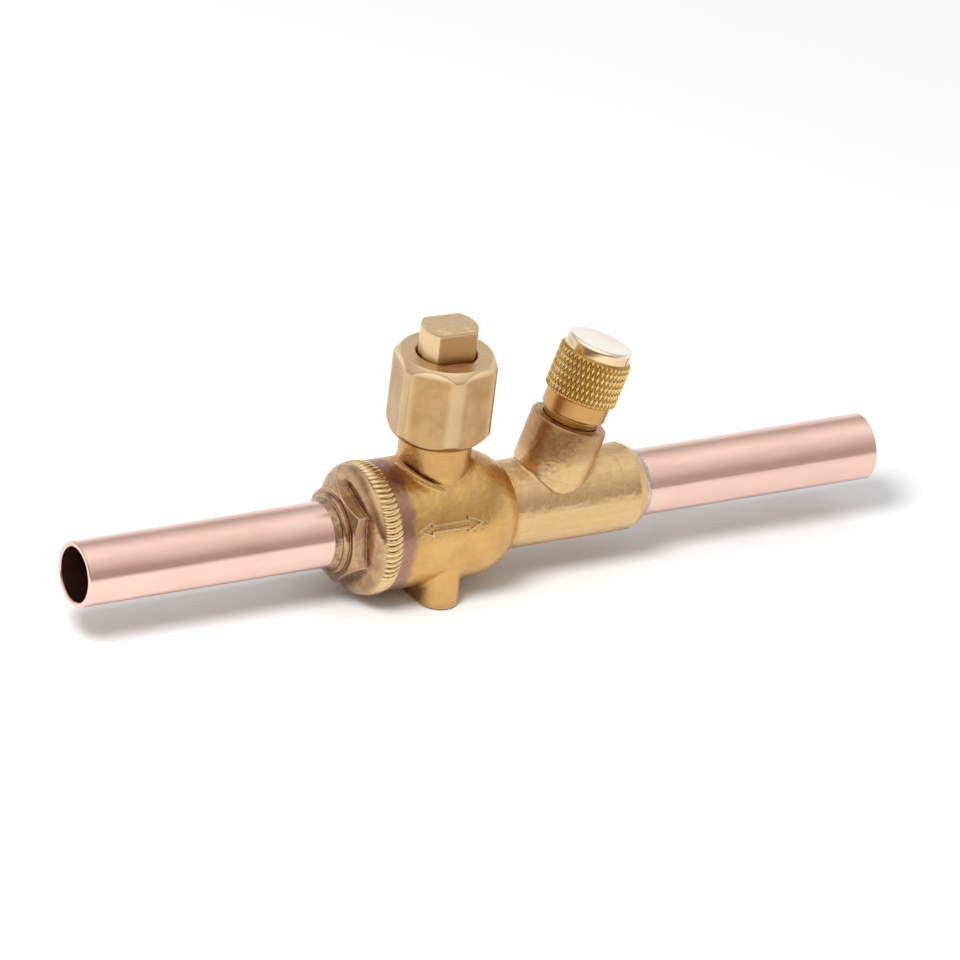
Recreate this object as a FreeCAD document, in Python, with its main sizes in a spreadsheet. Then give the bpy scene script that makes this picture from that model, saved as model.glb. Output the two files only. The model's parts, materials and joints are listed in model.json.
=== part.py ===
# Refrigerant ball service valve with two copper tube stubs, a hexagonal seal cap over its stem
# and an angled access fitting with a knurled cap. Sizes are in millimetres and degrees.
# The origin is the centre of the inlet tube's open end. +X runs along the pipe to the outlet,
# and +Z runs up the stem. Pieces on the stem and on the pipe are drawn about the point where the
# stem's axis meets the pipe's axis, and pieces on the access port about the port's own axis.
import FreeCAD, Part
import math
import os
import re
import Sketcher
from FreeCAD import Vector

# Driving sizes. Names that end in _at are distances from the stem's axis along the pipe, or from
# the pipe's axis along the stem or the port.
SIZES = {
    # Fits and clearances
    "running_gap": 0.05,
    "thread_gap": 0.05,
    "braze_gap": 0.04,
    "seat_gap": 0.05,
    # Copper tube stubs
    "tube_diameter": 12.7,
    "tube_wall": 1.0,
    "tube_deburr": 0.2,
    "inlet_reach": 76.0,
    "outlet_reach": 96.0,
    "socket_depth": 9.5,
    "braze_length": 1.3,
    "braze_height": 0.75,
    "braze_edge": 0.1,
    "stop_groove_length": 0.7,
    "stop_groove_depth": 0.2,
    # Forged body: barrel with a domed end, then the outlet neck
    "barrel_radius": 12.5,
    "barrel_wall": 3.0,
    "dome_at": 6.1,
    "port_radius": 5.1,
    "neck_radius": 8.5,
    "neck_end_at": 44.5,
    "neck_step": 0.15,
    "neck_chamfer_length": 2.0,
    "neck_chamfer_depth": 1.2,
    "neck_land_length": 3.6,
    "neck_land_step": 0.07,
    # Stem neck
    "stem_neck_radius": 6.5,
    "stem_neck_top": 21.1,
    "stem_neck_chamfer": 0.4,
    "stem_neck_fillet": 1.8,
    "stop_pocket_depth": 2.5,
    "stop_pocket_radius": 5.3,
    # Mounting pad below the barrel
    "pad_width": 7.8,
    "pad_length": 22.4,
    "pad_bottom": 14.0,
    "pad_fillet": 1.0,
    "screw_spacing": 14.0,
    "screw_radius": 1.65,
    "screw_depth": 4.5,
    # Raised flow arrow with a head at each end
    "arrow_at": -1.7,
    "arrow_rise": 20.0,
    "arrow_length": 14.2,
    "arrow_head_length": 3.4,
    "arrow_head_width": 3.4,
    "arrow_shaft_width": 1.7,
    "arrow_line": 0.42,
    "arrow_relief": 0.3,
    # Angled access boss
    "access_at": 24.3,
    "access_tilt": 17.0,
    "boss_radius": 7.2,
    "boss_top": 16.1,
    "boss_chamfer": 0.5,
    "boss_fillet": 0.9,
    "boss_socket_depth": 6.0,
    "passage_radius": 2.0,
    # Weld bead between the body and the closure
    "weld_at": 13.9,
    "weld_groove": 1.4,
    "weld_width": 4.2,
    "weld_crown": 0.4,
    "ripple_count": 84,
    "ripple_radius": 0.38,
    "ripple_depth": 0.27,
    # Inlet closure with its hexagon
    "spigot_radius": 10.4,
    "spigot_length": 4.0,
    "closure_chamfer": 0.4,
    "closure_dome_length": 2.5,
    "closure_dome_drop": 3.9,
    "closure_dome_radius": 3.8,
    "closure_flats": 17.5,
    "closure_hexagon_turn": 0.0,
    "closure_hexagon_at": 20.3,
    "closure_collar_radius": 7.7,
    "closure_collar_at": 22.0,
    "closure_collar_round": 0.6,
    # Ball, seats and the ring behind the inlet seat
    "ball_radius": 9.0,
    "ball_slot_depth": 2.6,
    "ball_vent_radius": 0.6,
    "seat_front_at": 4.6,
    "seat_back_at": 9.0,
    "backing_section": 0.9,
    # Stem
    "stem_radius": 3.6,
    "stem_flange_radius": 4.4,
    "stem_flange_thickness": 1.6,
    "stem_flange_gap": 0.3,
    "tongue_thickness": 3.5,
    "tongue_length": 8.0,
    "tongue_depth": 2.5,
    "washer_thickness": 0.6,
    "ring_section": 1.5,
    "ring_side_gap": 0.2,
    "lower_ring_at": 13.3,
    "upper_ring_at": 16.2,
    "square_flats": 5.0,
    "square_length": 3.9,
    "stop_pin_radius": 0.9,
    "stop_pin_at": 19.85,
    "stop_pin_reach": 5.1,
    # Seal cap over the stem
    "seal_cap_bottom": 17.1,
    "seal_cap_top": 35.3,
    "seal_cap_flats": 18.0,
    "seal_cap_turn": 12.0,
    "seal_cap_foot_radius": 7.6,
    "seal_cap_foot_chamfer": 3.0,
    "seal_cap_crown_radius": 8.8,
    "seal_cap_crown_chamfer": 1.2,
    "seal_cap_cavity_radius": 4.4,
    "seal_cap_cavity_depth": 4.2,
    "gasket_thickness": 1.2,
    "gasket_inner_radius": 4.8,
    "tang_recess_radius": 6.1,
    "tang_recess_depth": 1.0,
    "tang_radius": 5.5,
    "tang_flats": 8.1,
    "tang_top": 41.2,
    "tang_turn": -3.5,
    "tang_chamfer": 0.5,
    # Access fitting with a 7/16 inch flare thread and a bore for the valve core
    "shank_radius": 5.4,
    "flare_thread_radius": 5.556,
    "flare_thread_at": 18.4,
    "flare_cone_at": 28.5,
    "nose_radius": 3.65,
    "nose_at": 30.4,
    "core_bore_radius": 2.7,
    "core_bore_depth": 5.8,
    "lower_bore_radius": 2.2,
    "mouth_chamfer": 0.4,
    # Valve core
    "core_thread_radius": 2.62,
    "core_thread_length": 4.6,
    "core_recess": 0.6,
    "core_head_flats": 3.9,
    "core_head_flat_length": 1.8,
    "core_neck_radius": 1.75,
    "core_bottom_at": 22.6,
    "core_spring_bore": 1.7,
    "core_floor_at": 25.8,
    "core_pin_radius": 0.55,
    "core_pin_head_radius": 1.4,
    "core_pin_head_at": 28.3,
    "core_pin_head_thickness": 0.6,
    "core_pin_top_at": 30.1,
    "core_cup_radius": 1.7,
    "core_cup_thickness": 0.7,
    "core_disc_thickness": 0.8,
    "spring_wire": 0.32,
    "spring_radius": 1.2,
    "spring_turns": 4,
    # Knurled access cap
    "access_cap_foot_at": 18.95,
    "access_cap_collar_radius": 6.33,
    "knurl_from": 22.5,
    "knurl_to": 31.2,
    "knurl_tip_radius": 7.1,
    "knurl_root_radius": 6.7,
    "knurl_columns": 28,
    "knurl_rows": 6,
    "access_cap_crown_radius": 6.42,
    "access_cap_top": 33.8,
    "access_cap_round": 0.7,
    "access_seal_radius": 5.3,
    "access_seal_thickness": 1.2,
}

# Sizes that follow from the driving ones
DERIVED = {
    "tube_radius": "tube_diameter / 2",
    "tube_bore": "tube_diameter / 2 - tube_wall",
    "socket_radius": "tube_diameter / 2 + braze_gap",
    "inlet_socket_at": "closure_collar_at - socket_depth",
    "outlet_socket_at": "neck_end_at - socket_depth",
    "chamber_radius": "barrel_radius - barrel_wall",
    "dome_end": "dome_at + sqrt(barrel_radius ^ 2 - (neck_radius + neck_step) ^ 2)",
    "land_radius": "neck_radius - neck_land_step",
    "weld_half": "weld_width / 2",
    "groove_floor": "barrel_radius - weld_groove",
    "spigot_at": "weld_at - spigot_length",
    "spigot_bore": "spigot_radius + thread_gap",
    "pocket_at": "weld_at - spigot_length - 0.3",
    "seat_bore": "ball_radius + seat_gap",
    "seat_radius": "barrel_radius - barrel_wall - seat_gap",
    "flange_bottom": "ball_radius + stem_flange_gap",
    "flange_top": "ball_radius + stem_flange_gap + stem_flange_thickness",
    "flange_pocket_top": "ball_radius + stem_flange_gap + stem_flange_thickness + washer_thickness",
    "stem_hole": "stem_radius + running_gap",
    "ring_core": "stem_radius - ring_section",
    "square_from": "stem_neck_top",
    "gasket_top": "stem_neck_top + gasket_thickness",
    "seal_cap_bore": "stem_neck_radius + thread_gap",
    "seal_cap_corner": "seal_cap_flats / sqrt(3)",
    "closure_corner": "closure_flats / sqrt(3)",
    "tang_floor": "seal_cap_top - tang_recess_depth",
    "boss_socket_at": "boss_top - boss_socket_depth",
    "shank_socket": "shank_radius + braze_gap",
    "access_cap_bore": "flare_thread_radius + thread_gap",
    "access_cap_roof": "nose_at + access_seal_thickness",
    "core_bore_floor": "nose_at - core_bore_depth",
    "core_taper_floor": "nose_at - core_bore_depth - (core_bore_radius - lower_bore_radius)",
    "core_top": "nose_at - core_recess",
    "core_thread_floor": "nose_at - core_recess - core_thread_length",
    "core_disc_floor": "core_bottom_at - core_disc_thickness",
    "core_cup_floor": "core_bottom_at - core_disc_thickness - core_cup_thickness",
}

doc = FreeCAD.newDocument("service_valve")


def formula(text):
    """The formula with the sheet's name before each size that it uses."""
    def full_name(match):
        word = match.group(0)
        if word in SIZES:
            return "Sizes." + word
        return "Derived." + word if word in DERIVED else word
    return re.sub("[a-z_]+", full_name, str(text))


def add_sheet(name, cells):
    sheet = doc.addObject("Spreadsheet::Sheet", name)
    for row, (alias, content) in enumerate(cells.items(), start=1):
        sheet.set("A%d" % row, alias)
        sheet.set("B%d" % row, content)
        sheet.setAlias("B%d" % row, alias)
    doc.recompute()
    return sheet


sizes = add_sheet("Sizes", {alias: str(value) for alias, value in SIZES.items()})
derived = add_sheet("Derived", {alias: "=" + formula(text) for alias, text in DERIVED.items()})


def worth(text):
    """The present value of a formula."""
    return float(derived.evalExpression(formula(text)))


def bind(item, field, text):
    item.setExpression(field, formula(text))


def placing(x="0", y="0", z="0", axis=(0, 0, 1), turn="0"):
    """A formula for a placement: a turn about an axis, then a move."""
    return "placement(vector({}; {}; {}); rotation(vector({}; {}; {}); {}))".format(
        formula(x), formula(y), formula(z), *axis, formula(turn))


def on_stem(item, x="inlet_reach"):
    """Puts a piece where the stem's axis meets the pipe's axis, or at another place on the pipe."""
    item.setExpression("Placement", placing(x=x))
    return item


def on_port(item):
    """Puts a piece on the tilted axis of the access port."""
    item.setExpression("Placement", placing(x="inlet_reach + access_at", axis=(0, 1, 0),
                                            turn="access_tilt"))
    return item


def new_body(label):
    body = doc.addObject("PartDesign::Body", label)
    body.Label = label
    return body


def new_sketch(body, name, plane="XZ_Plane", offset=None):
    sketch = body.newObject("Sketcher::SketchObject", name)
    support = [item for item in body.Origin.OriginFeatures if item.Role == plane][0]
    sketch.AttachmentSupport = (support, [""])
    sketch.MapMode = "FlatFace"
    if offset:
        sketch.setExpression("AttachmentOffset", offset)
    return sketch


def arc_side(start, end, radius):
    """A side that is an arc: it turns left on its way where the radius is positive, or right."""
    half = (end - start) * 0.5
    left = Vector(-half.y, half.x, 0).normalize()
    reach = math.sqrt(max(radius ** 2 - half.Length ** 2, 0))
    centre = start + half + left * math.copysign(reach, radius)
    first, last = (start, end) if radius > 0 else (end, start)
    from_angle = math.atan2(first.y - centre.y, first.x - centre.x)
    to_angle = math.atan2(last.y - centre.y, last.x - centre.x)
    if to_angle < from_angle:
        to_angle += 2 * math.pi
    return Part.ArcOfCircle(Part.Circle(centre, Vector(0, 0, 1), abs(radius)), from_angle, to_angle)


def outline(sketch, corners, arcs=None):
    """Draws a closed outline. Each corner is a pair of formulas, and arcs gives the radius of each
    side that isn't straight, by the number of the corner where it starts."""
    arcs = arcs or {}
    count = len(corners)
    points = [Vector(worth(across), worth(up), 0) for across, up in corners]
    first = sketch.GeometryCount
    for side in range(count):
        start, end = points[side], points[(side + 1) % count]
        if side in arcs:
            sketch.addGeometry(arc_side(start, end, worth(arcs[side])))
        else:
            sketch.addGeometry(Part.LineSegment(start, end))
    # An arc that turns right is stored the other way round, so its start is its second point.
    starts = [2 if side in arcs and worth(arcs[side]) < 0 else 1 for side in range(count)]
    for side in range(count):
        after = (side + 1) % count
        sketch.addConstraint(Sketcher.Constraint(
            "Coincident", first + side, 3 - starts[side], first + after, starts[after]))
    for side, (across, up) in enumerate(corners):
        for kind, text, value in (("DistanceX", across, points[side].x),
                                  ("DistanceY", up, points[side].y)):
            number = sketch.addConstraint(Sketcher.Constraint(
                kind, -1, 1, first + side, starts[side], value))
            bind(sketch, "Constraints[%d]" % number, text)
        if side in arcs:
            radius = arcs[side].lstrip("-")
            number = sketch.addConstraint(Sketcher.Constraint("Radius", first + side, worth(radius)))
            bind(sketch, "Constraints[%d]" % number, radius)


def circle(sketch, across, up, radius):
    """Draws a circle whose centre and radius are formulas."""
    centre = Vector(worth(across), worth(up), 0)
    side = sketch.addGeometry(Part.Circle(centre, Vector(0, 0, 1), worth(radius)))
    for kind, text, value in (("DistanceX", across, centre.x), ("DistanceY", up, centre.y)):
        number = sketch.addConstraint(Sketcher.Constraint(kind, -1, 1, side, 3, value))
        bind(sketch, "Constraints[%d]" % number, text)
    number = sketch.addConstraint(Sketcher.Constraint("Radius", side, worth(radius)))
    bind(sketch, "Constraints[%d]" % number, radius)


def regular_hexagon(sketch, corner_radius, turn):
    outline(sketch, [("{} * cos({} + {})".format(corner_radius, 60 * side, turn),
                      "{} * sin({} + {})".format(corner_radius, 60 * side, turn))
                     for side in range(6)])


def turned(body, kind, sketch, axis):
    """A full revolution or groove about the sketch's H_Axis or V_Axis."""
    feature = body.newObject("PartDesign::" + kind, sketch.Name + "_" + kind.lower())
    feature.Profile = sketch
    feature.ReferenceAxis = (sketch, [axis])
    feature.Angle = 360
    doc.recompute()
    return feature


def extruded(body, kind, sketch, length, backwards=False, both_ways=False):
    """A pad or pocket of a given length."""
    feature = body.newObject("PartDesign::" + kind, sketch.Name + "_" + kind.lower())
    feature.Profile = sketch
    bind(feature, "Length", length)
    feature.Reversed = backwards
    feature.Midplane = both_ways
    doc.recompute()
    return feature


def rounded(body, name, radius, chosen):
    """Fillets the edges of the body's present solid for which chosen(point) holds throughout."""
    base = body.Tip
    names = []
    for number, edge in enumerate(base.Shape.Edges, start=1):
        if all(chosen(point) for point in edge.discretize(7)):
            names.append("Edge%d" % number)
    fillet = body.newObject("PartDesign::Fillet", name)
    fillet.Base = (base, names)
    bind(fillet, "Radius", radius)
    doc.recompute()
    return fillet


def turned_piece(label, corners, arcs=None, axis="V_Axis"):
    """A piece made by turning one closed outline about its axis."""
    body = new_body(label)
    sketch = new_sketch(body, label + "_outline")
    outline(sketch, corners, arcs)
    turned(body, "Revolution", sketch, axis)
    return body


def ring_piece(label, section_radius, across, up, axis="V_Axis"):
    """A ring of round section."""
    body = new_body(label)
    sketch = new_sketch(body, label + "_section")
    circle(sketch, across, up, section_radius)
    turned(body, "Revolution", sketch, axis)
    return body


def tube(label, side, face, free_end, socket_end):
    """A copper stub with deburred ends. side is the sign of its way out from the stem, and face is
    where its socket ends. A rolled groove next to the face stops it at its depth."""
    inner, outer, cut = "tube_bore", "tube_radius", "tube_deburr"
    waist = "tube_radius - stop_groove_depth"
    groove_from = "({} + braze_length)".format(face)
    groove_to = "({} + braze_length - stop_groove_length)".format(face)
    corners = [
        (free_end, inner + " + " + cut), (free_end, outer + " - " + cut),
        (free_end + " - " + cut, outer), (groove_from, outer), (groove_from, waist),
        (groove_to, waist), (groove_to, outer), (socket_end + " + " + cut, outer),
        (socket_end, outer + " - " + cut), (socket_end, inner + " + " + cut),
        (socket_end + " + " + cut, inner), (free_end + " - " + cut, inner)]
    return on_stem(turned_piece(label, [("{}({})".format(side, along), out)
                                        for along, out in corners], axis="H_Axis"))


def inlet_tube():
    return tube("inlet_tube", "-", "closure_collar_at", "inlet_reach",
                "(inlet_socket_at + braze_gap)")


def outlet_tube():
    return tube("outlet_tube", "", "neck_end_at", "outlet_reach",
                "(outlet_socket_at + braze_gap)")


def braze_ring(label, side, face):
    """The silver fillet where a tube leaves its socket, hollowed by a concave arc. It fills the
    tube's stop groove."""
    far, inner = "({} + braze_length)".format(face), "tube_radius - stop_groove_depth"
    groove_to = "({} + braze_length - stop_groove_length)".format(face)
    corners = [(face, "tube_radius"), (face, "tube_radius + braze_height"),
               (far, "tube_radius + braze_edge"), (far, inner), (groove_to, inner),
               (groove_to, "tube_radius")]
    radius = "-braze_length" if side == "-" else "braze_length"
    return on_stem(turned_piece(label, [(side + along, out) for along, out in corners],
                                {1: radius}, axis="H_Axis"))


def away_from_pipe_axis(point):
    return math.hypot(point.y, point.z)


def body_forging():
    """Barrel, dome, outlet neck, stem neck, mounting pad and access boss in one forging."""
    body = new_body("body_forging")
    sketch = new_sketch(body, "barrel_outline")
    chamfer_from = "neck_end_at - neck_chamfer_length"
    land_from = chamfer_from + " - neck_land_length"
    outline(sketch, [
        ("-weld_at", "0"), ("-weld_at", "groove_floor"),
        ("-weld_at + weld_groove", "barrel_radius"), ("dome_at", "barrel_radius"),
        ("dome_end", "neck_radius + neck_step"), ("dome_end", "neck_radius"),
        (land_from, "neck_radius"), (land_from, "land_radius"), (chamfer_from, "land_radius"),
        ("neck_end_at", "neck_radius - neck_chamfer_depth"), ("neck_end_at", "0")],
        {3: "-barrel_radius"})
    turned(body, "Revolution", sketch, "H_Axis")

    neck = new_sketch(body, "stem_neck_outline")
    outline(neck, [("0", "0"), ("stem_neck_radius", "0"),
                   ("stem_neck_radius", "stem_neck_top - stem_neck_chamfer"),
                   ("stem_neck_radius - stem_neck_chamfer", "stem_neck_top"),
                   ("0", "stem_neck_top")])
    turned(body, "Revolution", neck, "V_Axis")
    neck_radius = worth("stem_neck_radius")
    neck_foot = worth("stem_neck_top - 2 * stem_neck_chamfer")
    rounded(body, "stem_neck_foot", "stem_neck_fillet", lambda point:
            abs(math.hypot(point.x, point.y) - neck_radius) < 0.01 and 1 < point.z < neck_foot)

    pad = new_sketch(body, "mounting_pad_outline", "XY_Plane")
    half_width, straight = "pad_width / 2", "(pad_length - pad_width) / 2"
    outline(pad, [("-" + half_width, "-" + straight), ("0", "-pad_length / 2"),
                  (half_width, "-" + straight), (half_width, straight),
                  ("0", "pad_length / 2"), ("-" + half_width, straight)],
            {0: half_width, 1: half_width, 3: half_width, 4: half_width})
    extruded(body, "Pad", pad, "pad_bottom", backwards=True)
    pad_half = worth(half_width)
    pad_straight = worth(straight)
    barrel = worth("barrel_radius")

    def on_pad_side(point):
        beyond = max(abs(point.y) - pad_straight, 0)
        return abs(math.hypot(point.x, beyond) - pad_half) < 0.01 and point.z < 0 \
            and abs(away_from_pipe_axis(point) - barrel) < 0.05
    rounded(body, "mounting_pad_foot", "pad_fillet", on_pad_side)

    port = placing(x="access_at", turn="-access_tilt")
    boss = new_sketch(body, "boss_outline", offset=port)
    outline(boss, [("0", "0"), ("boss_radius", "0"), ("boss_radius", "boss_top - boss_chamfer"),
                   ("boss_radius - boss_chamfer", "boss_top"), ("0", "boss_top")])
    turned(body, "Revolution", boss, "V_Axis")
    axis = Vector(math.sin(math.radians(worth("access_tilt"))), 0,
                  math.cos(math.radians(worth("access_tilt"))))
    foot = Vector(worth("access_at"), 0, 0)
    boss_radius = worth("boss_radius")
    outlet_neck = worth("neck_radius")
    rounded(body, "boss_foot", "boss_fillet", lambda point:
            abs((point - foot).cross(axis).Length - boss_radius) < 0.01 and point.z > 0
            and away_from_pipe_axis(point) < outlet_neck + 0.05)

    bore = new_sketch(body, "flow_bore")
    outline(bore, [
        ("-weld_at - 1", "0"), ("-weld_at - 1", "spigot_bore"), ("-pocket_at", "spigot_bore"),
        ("-pocket_at", "chamber_radius"), ("seat_back_at", "chamber_radius"),
        ("seat_back_at", "port_radius"), ("outlet_socket_at", "port_radius"),
        ("outlet_socket_at", "socket_radius"), ("neck_end_at + 1", "socket_radius"),
        ("neck_end_at + 1", "0")])
    turned(body, "Groove", bore, "H_Axis")

    hole = new_sketch(body, "stem_hole_outline")
    flange_pocket = "stem_flange_radius + running_gap"
    outline(hole, [("0", "port_radius"), (flange_pocket, "port_radius"),
                   (flange_pocket, "flange_pocket_top"), ("stem_hole", "flange_pocket_top"),
                   ("stem_hole", "stem_neck_top + 1"), ("0", "stem_neck_top + 1")])
    turned(body, "Groove", hole, "V_Axis")

    # The pocket lets the stop pin turn a quarter: from along the pipe to across it.
    pocket = new_sketch(body, "stop_pocket", "XY_Plane", placing(z="stem_neck_top"))
    side = "(stop_pin_radius + running_gap)"
    reach = "sqrt(stop_pocket_radius ^ 2 - {0} ^ 2)".format(side)
    outline(pocket, [("-" + side, side), ("-" + side, "-" + reach), (reach, side)],
            {1: "stop_pocket_radius"})
    extruded(body, "Pocket", pocket, "stop_pocket_depth")

    screws = new_sketch(body, "screw_holes", "XY_Plane", placing(z="-pad_bottom"))
    circle(screws, "0", "screw_spacing / 2", "screw_radius")
    circle(screws, "0", "-screw_spacing / 2", "screw_radius")
    extruded(body, "Pocket", screws, "screw_depth", backwards=True)

    passage = new_sketch(body, "access_passage", offset=port)
    outline(passage, [("0", "0"), ("passage_radius", "0"), ("passage_radius", "boss_socket_at"),
                      ("shank_socket", "boss_socket_at"), ("shank_socket", "boss_top + 1"),
                      ("0", "boss_top + 1")])
    turned(body, "Groove", passage, "V_Axis")
    return body


def flow_arrow():
    """The raised line of a double-headed arrow, which follows the barrel's curve."""
    lines = new_body("arrow_lines")
    sketch = new_sketch(lines, "arrow_outline")
    for inset, tip_inset in (("0", "0"), ("arrow_line", "arrow_line * sqrt(2)")):
        end = "(arrow_length / 2 - {})".format(tip_inset)
        head = "(arrow_length / 2 - arrow_head_length + {})".format(inset)
        wide = "(arrow_head_width / 2 - {} * 1.6)".format(inset)
        slim = "(arrow_shaft_width / 2 - {})".format(inset)
        right = [(end, "0"), (head, wide), (head, slim)]
        left = [("-" + across, up) for across, up in reversed(right)]
        upper = right + left
        lower = [(across, "-" + up) for across, up in reversed(upper[1:-1])]
        outline(sketch, [("arrow_at + " + across, up) for across, up in upper + lower])
    extruded(lines, "Pad", sketch, "barrel_radius * 2")
    inside = doc.addObject("Part::Cylinder", "arrow_inside")
    bind(inside, "Radius", "barrel_radius - barrel_wall / 3")
    outside = doc.addObject("Part::Cylinder", "arrow_outside")
    bind(outside, "Radius", "barrel_radius + arrow_relief")
    for cylinder in (inside, outside):
        bind(cylinder, "Height", "arrow_length * 2")
        cylinder.setExpression("Placement", placing(x="arrow_at - arrow_length", axis=(0, 1, 0),
                                                    turn="90"))
    skin = doc.addObject("Part::Cut", "arrow_skin")
    skin.Base, skin.Tool = outside, inside
    arrow = doc.addObject("Part::Common", "flow_arrow")
    arrow.Base, arrow.Tool = lines, skin
    arrow.setExpression("Placement", placing(axis=(1, 0, 0), turn="-arrow_rise"))
    return arrow


def valve_body():
    fused = doc.addObject("Part::Fuse", "valve_body")
    fused.Base, fused.Tool = body_forging(), flow_arrow()
    return on_stem(fused)


def end_closure():
    """Turned closure: a spigot in the barrel, a domed shoulder, a hexagon and a tube collar."""
    body = new_body("end_closure")
    sketch = new_sketch(body, "closure_outline")
    dome_from = "-(weld_at + weld_half + closure_dome_length)"
    outline(sketch, [
        ("-closure_collar_at", "socket_radius"),
        ("-closure_collar_at", "closure_collar_radius - closure_collar_round"),
        ("-closure_collar_at + closure_collar_round", "closure_collar_radius"),
        (dome_from, "closure_collar_radius"),
        (dome_from, "barrel_radius - closure_dome_drop"),
        ("-(weld_at + weld_half)", "barrel_radius"),
        ("-(weld_at + weld_groove)", "barrel_radius"),
        ("-weld_at", "groove_floor"), ("-weld_at", "spigot_radius"),
        ("-spigot_at - closure_chamfer", "spigot_radius"),
        ("-spigot_at", "spigot_radius - closure_chamfer"),
        ("-spigot_at", "port_radius"), ("-inlet_socket_at", "port_radius"),
        ("-inlet_socket_at", "socket_radius")],
        {1: "-closure_collar_round", 4: "-closure_dome_radius"})
    turned(body, "Revolution", sketch, "H_Axis")

    hexagon = new_sketch(body, "closure_hexagon", "YZ_Plane", placing(z="-closure_hexagon_at"))
    regular_hexagon(hexagon, "closure_corner", "closure_hexagon_turn")
    circle(hexagon, "0", "0", "(socket_radius + closure_collar_radius) / 2")
    extruded(body, "Pad", hexagon, "closure_hexagon_at - weld_at - weld_half")

    edge = new_sketch(body, "closure_hexagon_chamfer")
    slope = "(closure_corner - closure_flats / 2 + 0.3)"
    outline(edge, [("-closure_hexagon_at - 0.1", "closure_flats / 2 - 0.3"),
                   ("-closure_hexagon_at", "closure_flats / 2 - 0.3"),
                   ("-closure_hexagon_at + {} * tan(30)".format(slope), "closure_corner"),
                   ("-closure_hexagon_at + {} * tan(30)".format(slope), "closure_corner + 1"),
                   ("-closure_hexagon_at - 0.1", "closure_corner + 1")])
    turned(body, "Groove", edge, "H_Axis")
    return on_stem(body)


def closure_weld_bead():
    """Crowned ring that fills the weld groove, with one scallop for each ripple of the weld."""
    body = new_body("closure_weld_bead")
    sketch = new_sketch(body, "bead_section")
    crown = "((weld_half ^ 2 + weld_crown ^ 2) / (2 * weld_crown))"
    outline(sketch, [("-weld_half", "barrel_radius"), ("weld_half", "barrel_radius"),
                     ("weld_groove", "barrel_radius"), ("0", "groove_floor"),
                     ("-weld_groove", "barrel_radius")], {0: "-" + crown})
    turned(body, "Revolution", sketch, "H_Axis")

    scallop = new_sketch(body, "ripple_scallop", "YZ_Plane", placing(z="-weld_half"))
    circle(scallop, "0", "barrel_radius + weld_crown - ripple_depth + ripple_radius",
           "ripple_radius")
    cut = extruded(body, "Pocket", scallop, "weld_width", backwards=True)
    ripples = body.newObject("PartDesign::PolarPattern", "ripples")
    ripples.Originals = [cut]
    ripples.Axis = (scallop, ["N_Axis"])
    ripples.Angle = 360
    bind(ripples, "Occurrences", "ripple_count")
    body.Tip = ripples
    doc.recompute()
    return on_stem(body, "inlet_reach - weld_at")


def ball():
    """Drilled ball with a slot for the stem's tongue and a vent from the slot to the bore."""
    half = "sqrt(ball_radius ^ 2 - port_radius ^ 2)"
    body = turned_piece("ball", [("-" + half, "port_radius"), (half, "port_radius")],
                        {1: "ball_radius"}, axis="H_Axis")
    slot = new_sketch(body, "drive_slot", "XY_Plane", placing(z="ball_radius"))
    wide = "(tongue_thickness / 2 + running_gap)"
    outline(slot, [("-" + wide, "-ball_radius"), (wide, "-ball_radius"),
                   (wide, "ball_radius"), ("-" + wide, "ball_radius")])
    extruded(body, "Pocket", slot, "ball_slot_depth")
    vent = new_sketch(body, "vent_hole", "XY_Plane", placing(z="ball_radius"))
    circle(vent, "0", "0", "ball_vent_radius")
    extruded(body, "Pocket", vent, "ball_radius")
    return on_stem(body)


def seat(label, side):
    """Seat ring with a spherical face for the ball. side is a sign: - for the inlet."""
    touch = "sqrt(seat_bore ^ 2 - seat_front_at ^ 2)"
    inner = "sqrt(seat_bore ^ 2 - port_radius ^ 2)"
    arc = "seat_bore" if side == "-" else "-seat_bore"
    return on_stem(turned_piece(label, [
        (side + "seat_back_at", "port_radius"), (side + "seat_back_at", "seat_radius"),
        (side + "seat_front_at", "seat_radius"), (side + "seat_front_at", touch),
        (side + inner, "port_radius")], {3: arc}, axis="H_Axis"))


def seat_backing_ring():
    """Elastic ring that presses the inlet seat against the ball."""
    return on_stem(ring_piece("seat_backing_ring", "backing_section / 2",
                              "-(seat_back_at + backing_section / 2)",
                              "(port_radius + seat_radius) / 2", axis="H_Axis"))


def stem():
    """Blow-out proof stem: tongue, flange, two ring grooves, cross hole and square end."""
    groove = "(ring_section / 2 + ring_side_gap)"
    corners = [("0", "flange_bottom"), ("stem_flange_radius", "flange_bottom"),
               ("stem_flange_radius", "flange_top"), ("stem_radius", "flange_top")]
    for middle in ("lower_ring_at", "upper_ring_at"):
        below, above = middle + " - " + groove, middle + " + " + groove
        corners += [("stem_radius", below), ("ring_core", below),
                    ("ring_core", above), ("stem_radius", above)]
    corners += [("stem_radius", "square_from"), ("0", "square_from")]
    body = turned_piece("stem", corners)

    tongue = new_sketch(body, "tongue", "XY_Plane", placing(z="flange_bottom"))
    thick, long_half = "tongue_thickness / 2", "tongue_length / 2"
    outline(tongue, [("-" + thick, "-" + long_half), (thick, "-" + long_half),
                     (thick, long_half), ("-" + thick, long_half)])
    extruded(body, "Pad", tongue, "tongue_depth", backwards=True)

    square = new_sketch(body, "square_end", "XY_Plane", placing(z="square_from"))
    half = "square_flats / 2"
    outline(square, [("-" + half, "-" + half), (half, "-" + half),
                     (half, half), ("-" + half, half)])
    extruded(body, "Pad", square, "square_length")

    hole = new_sketch(body, "pin_hole", "YZ_Plane")
    circle(hole, "0", "stop_pin_at", "stop_pin_radius")
    extruded(body, "Pocket", hole, "stem_radius * 3", both_ways=True)
    return on_stem(body)


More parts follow.
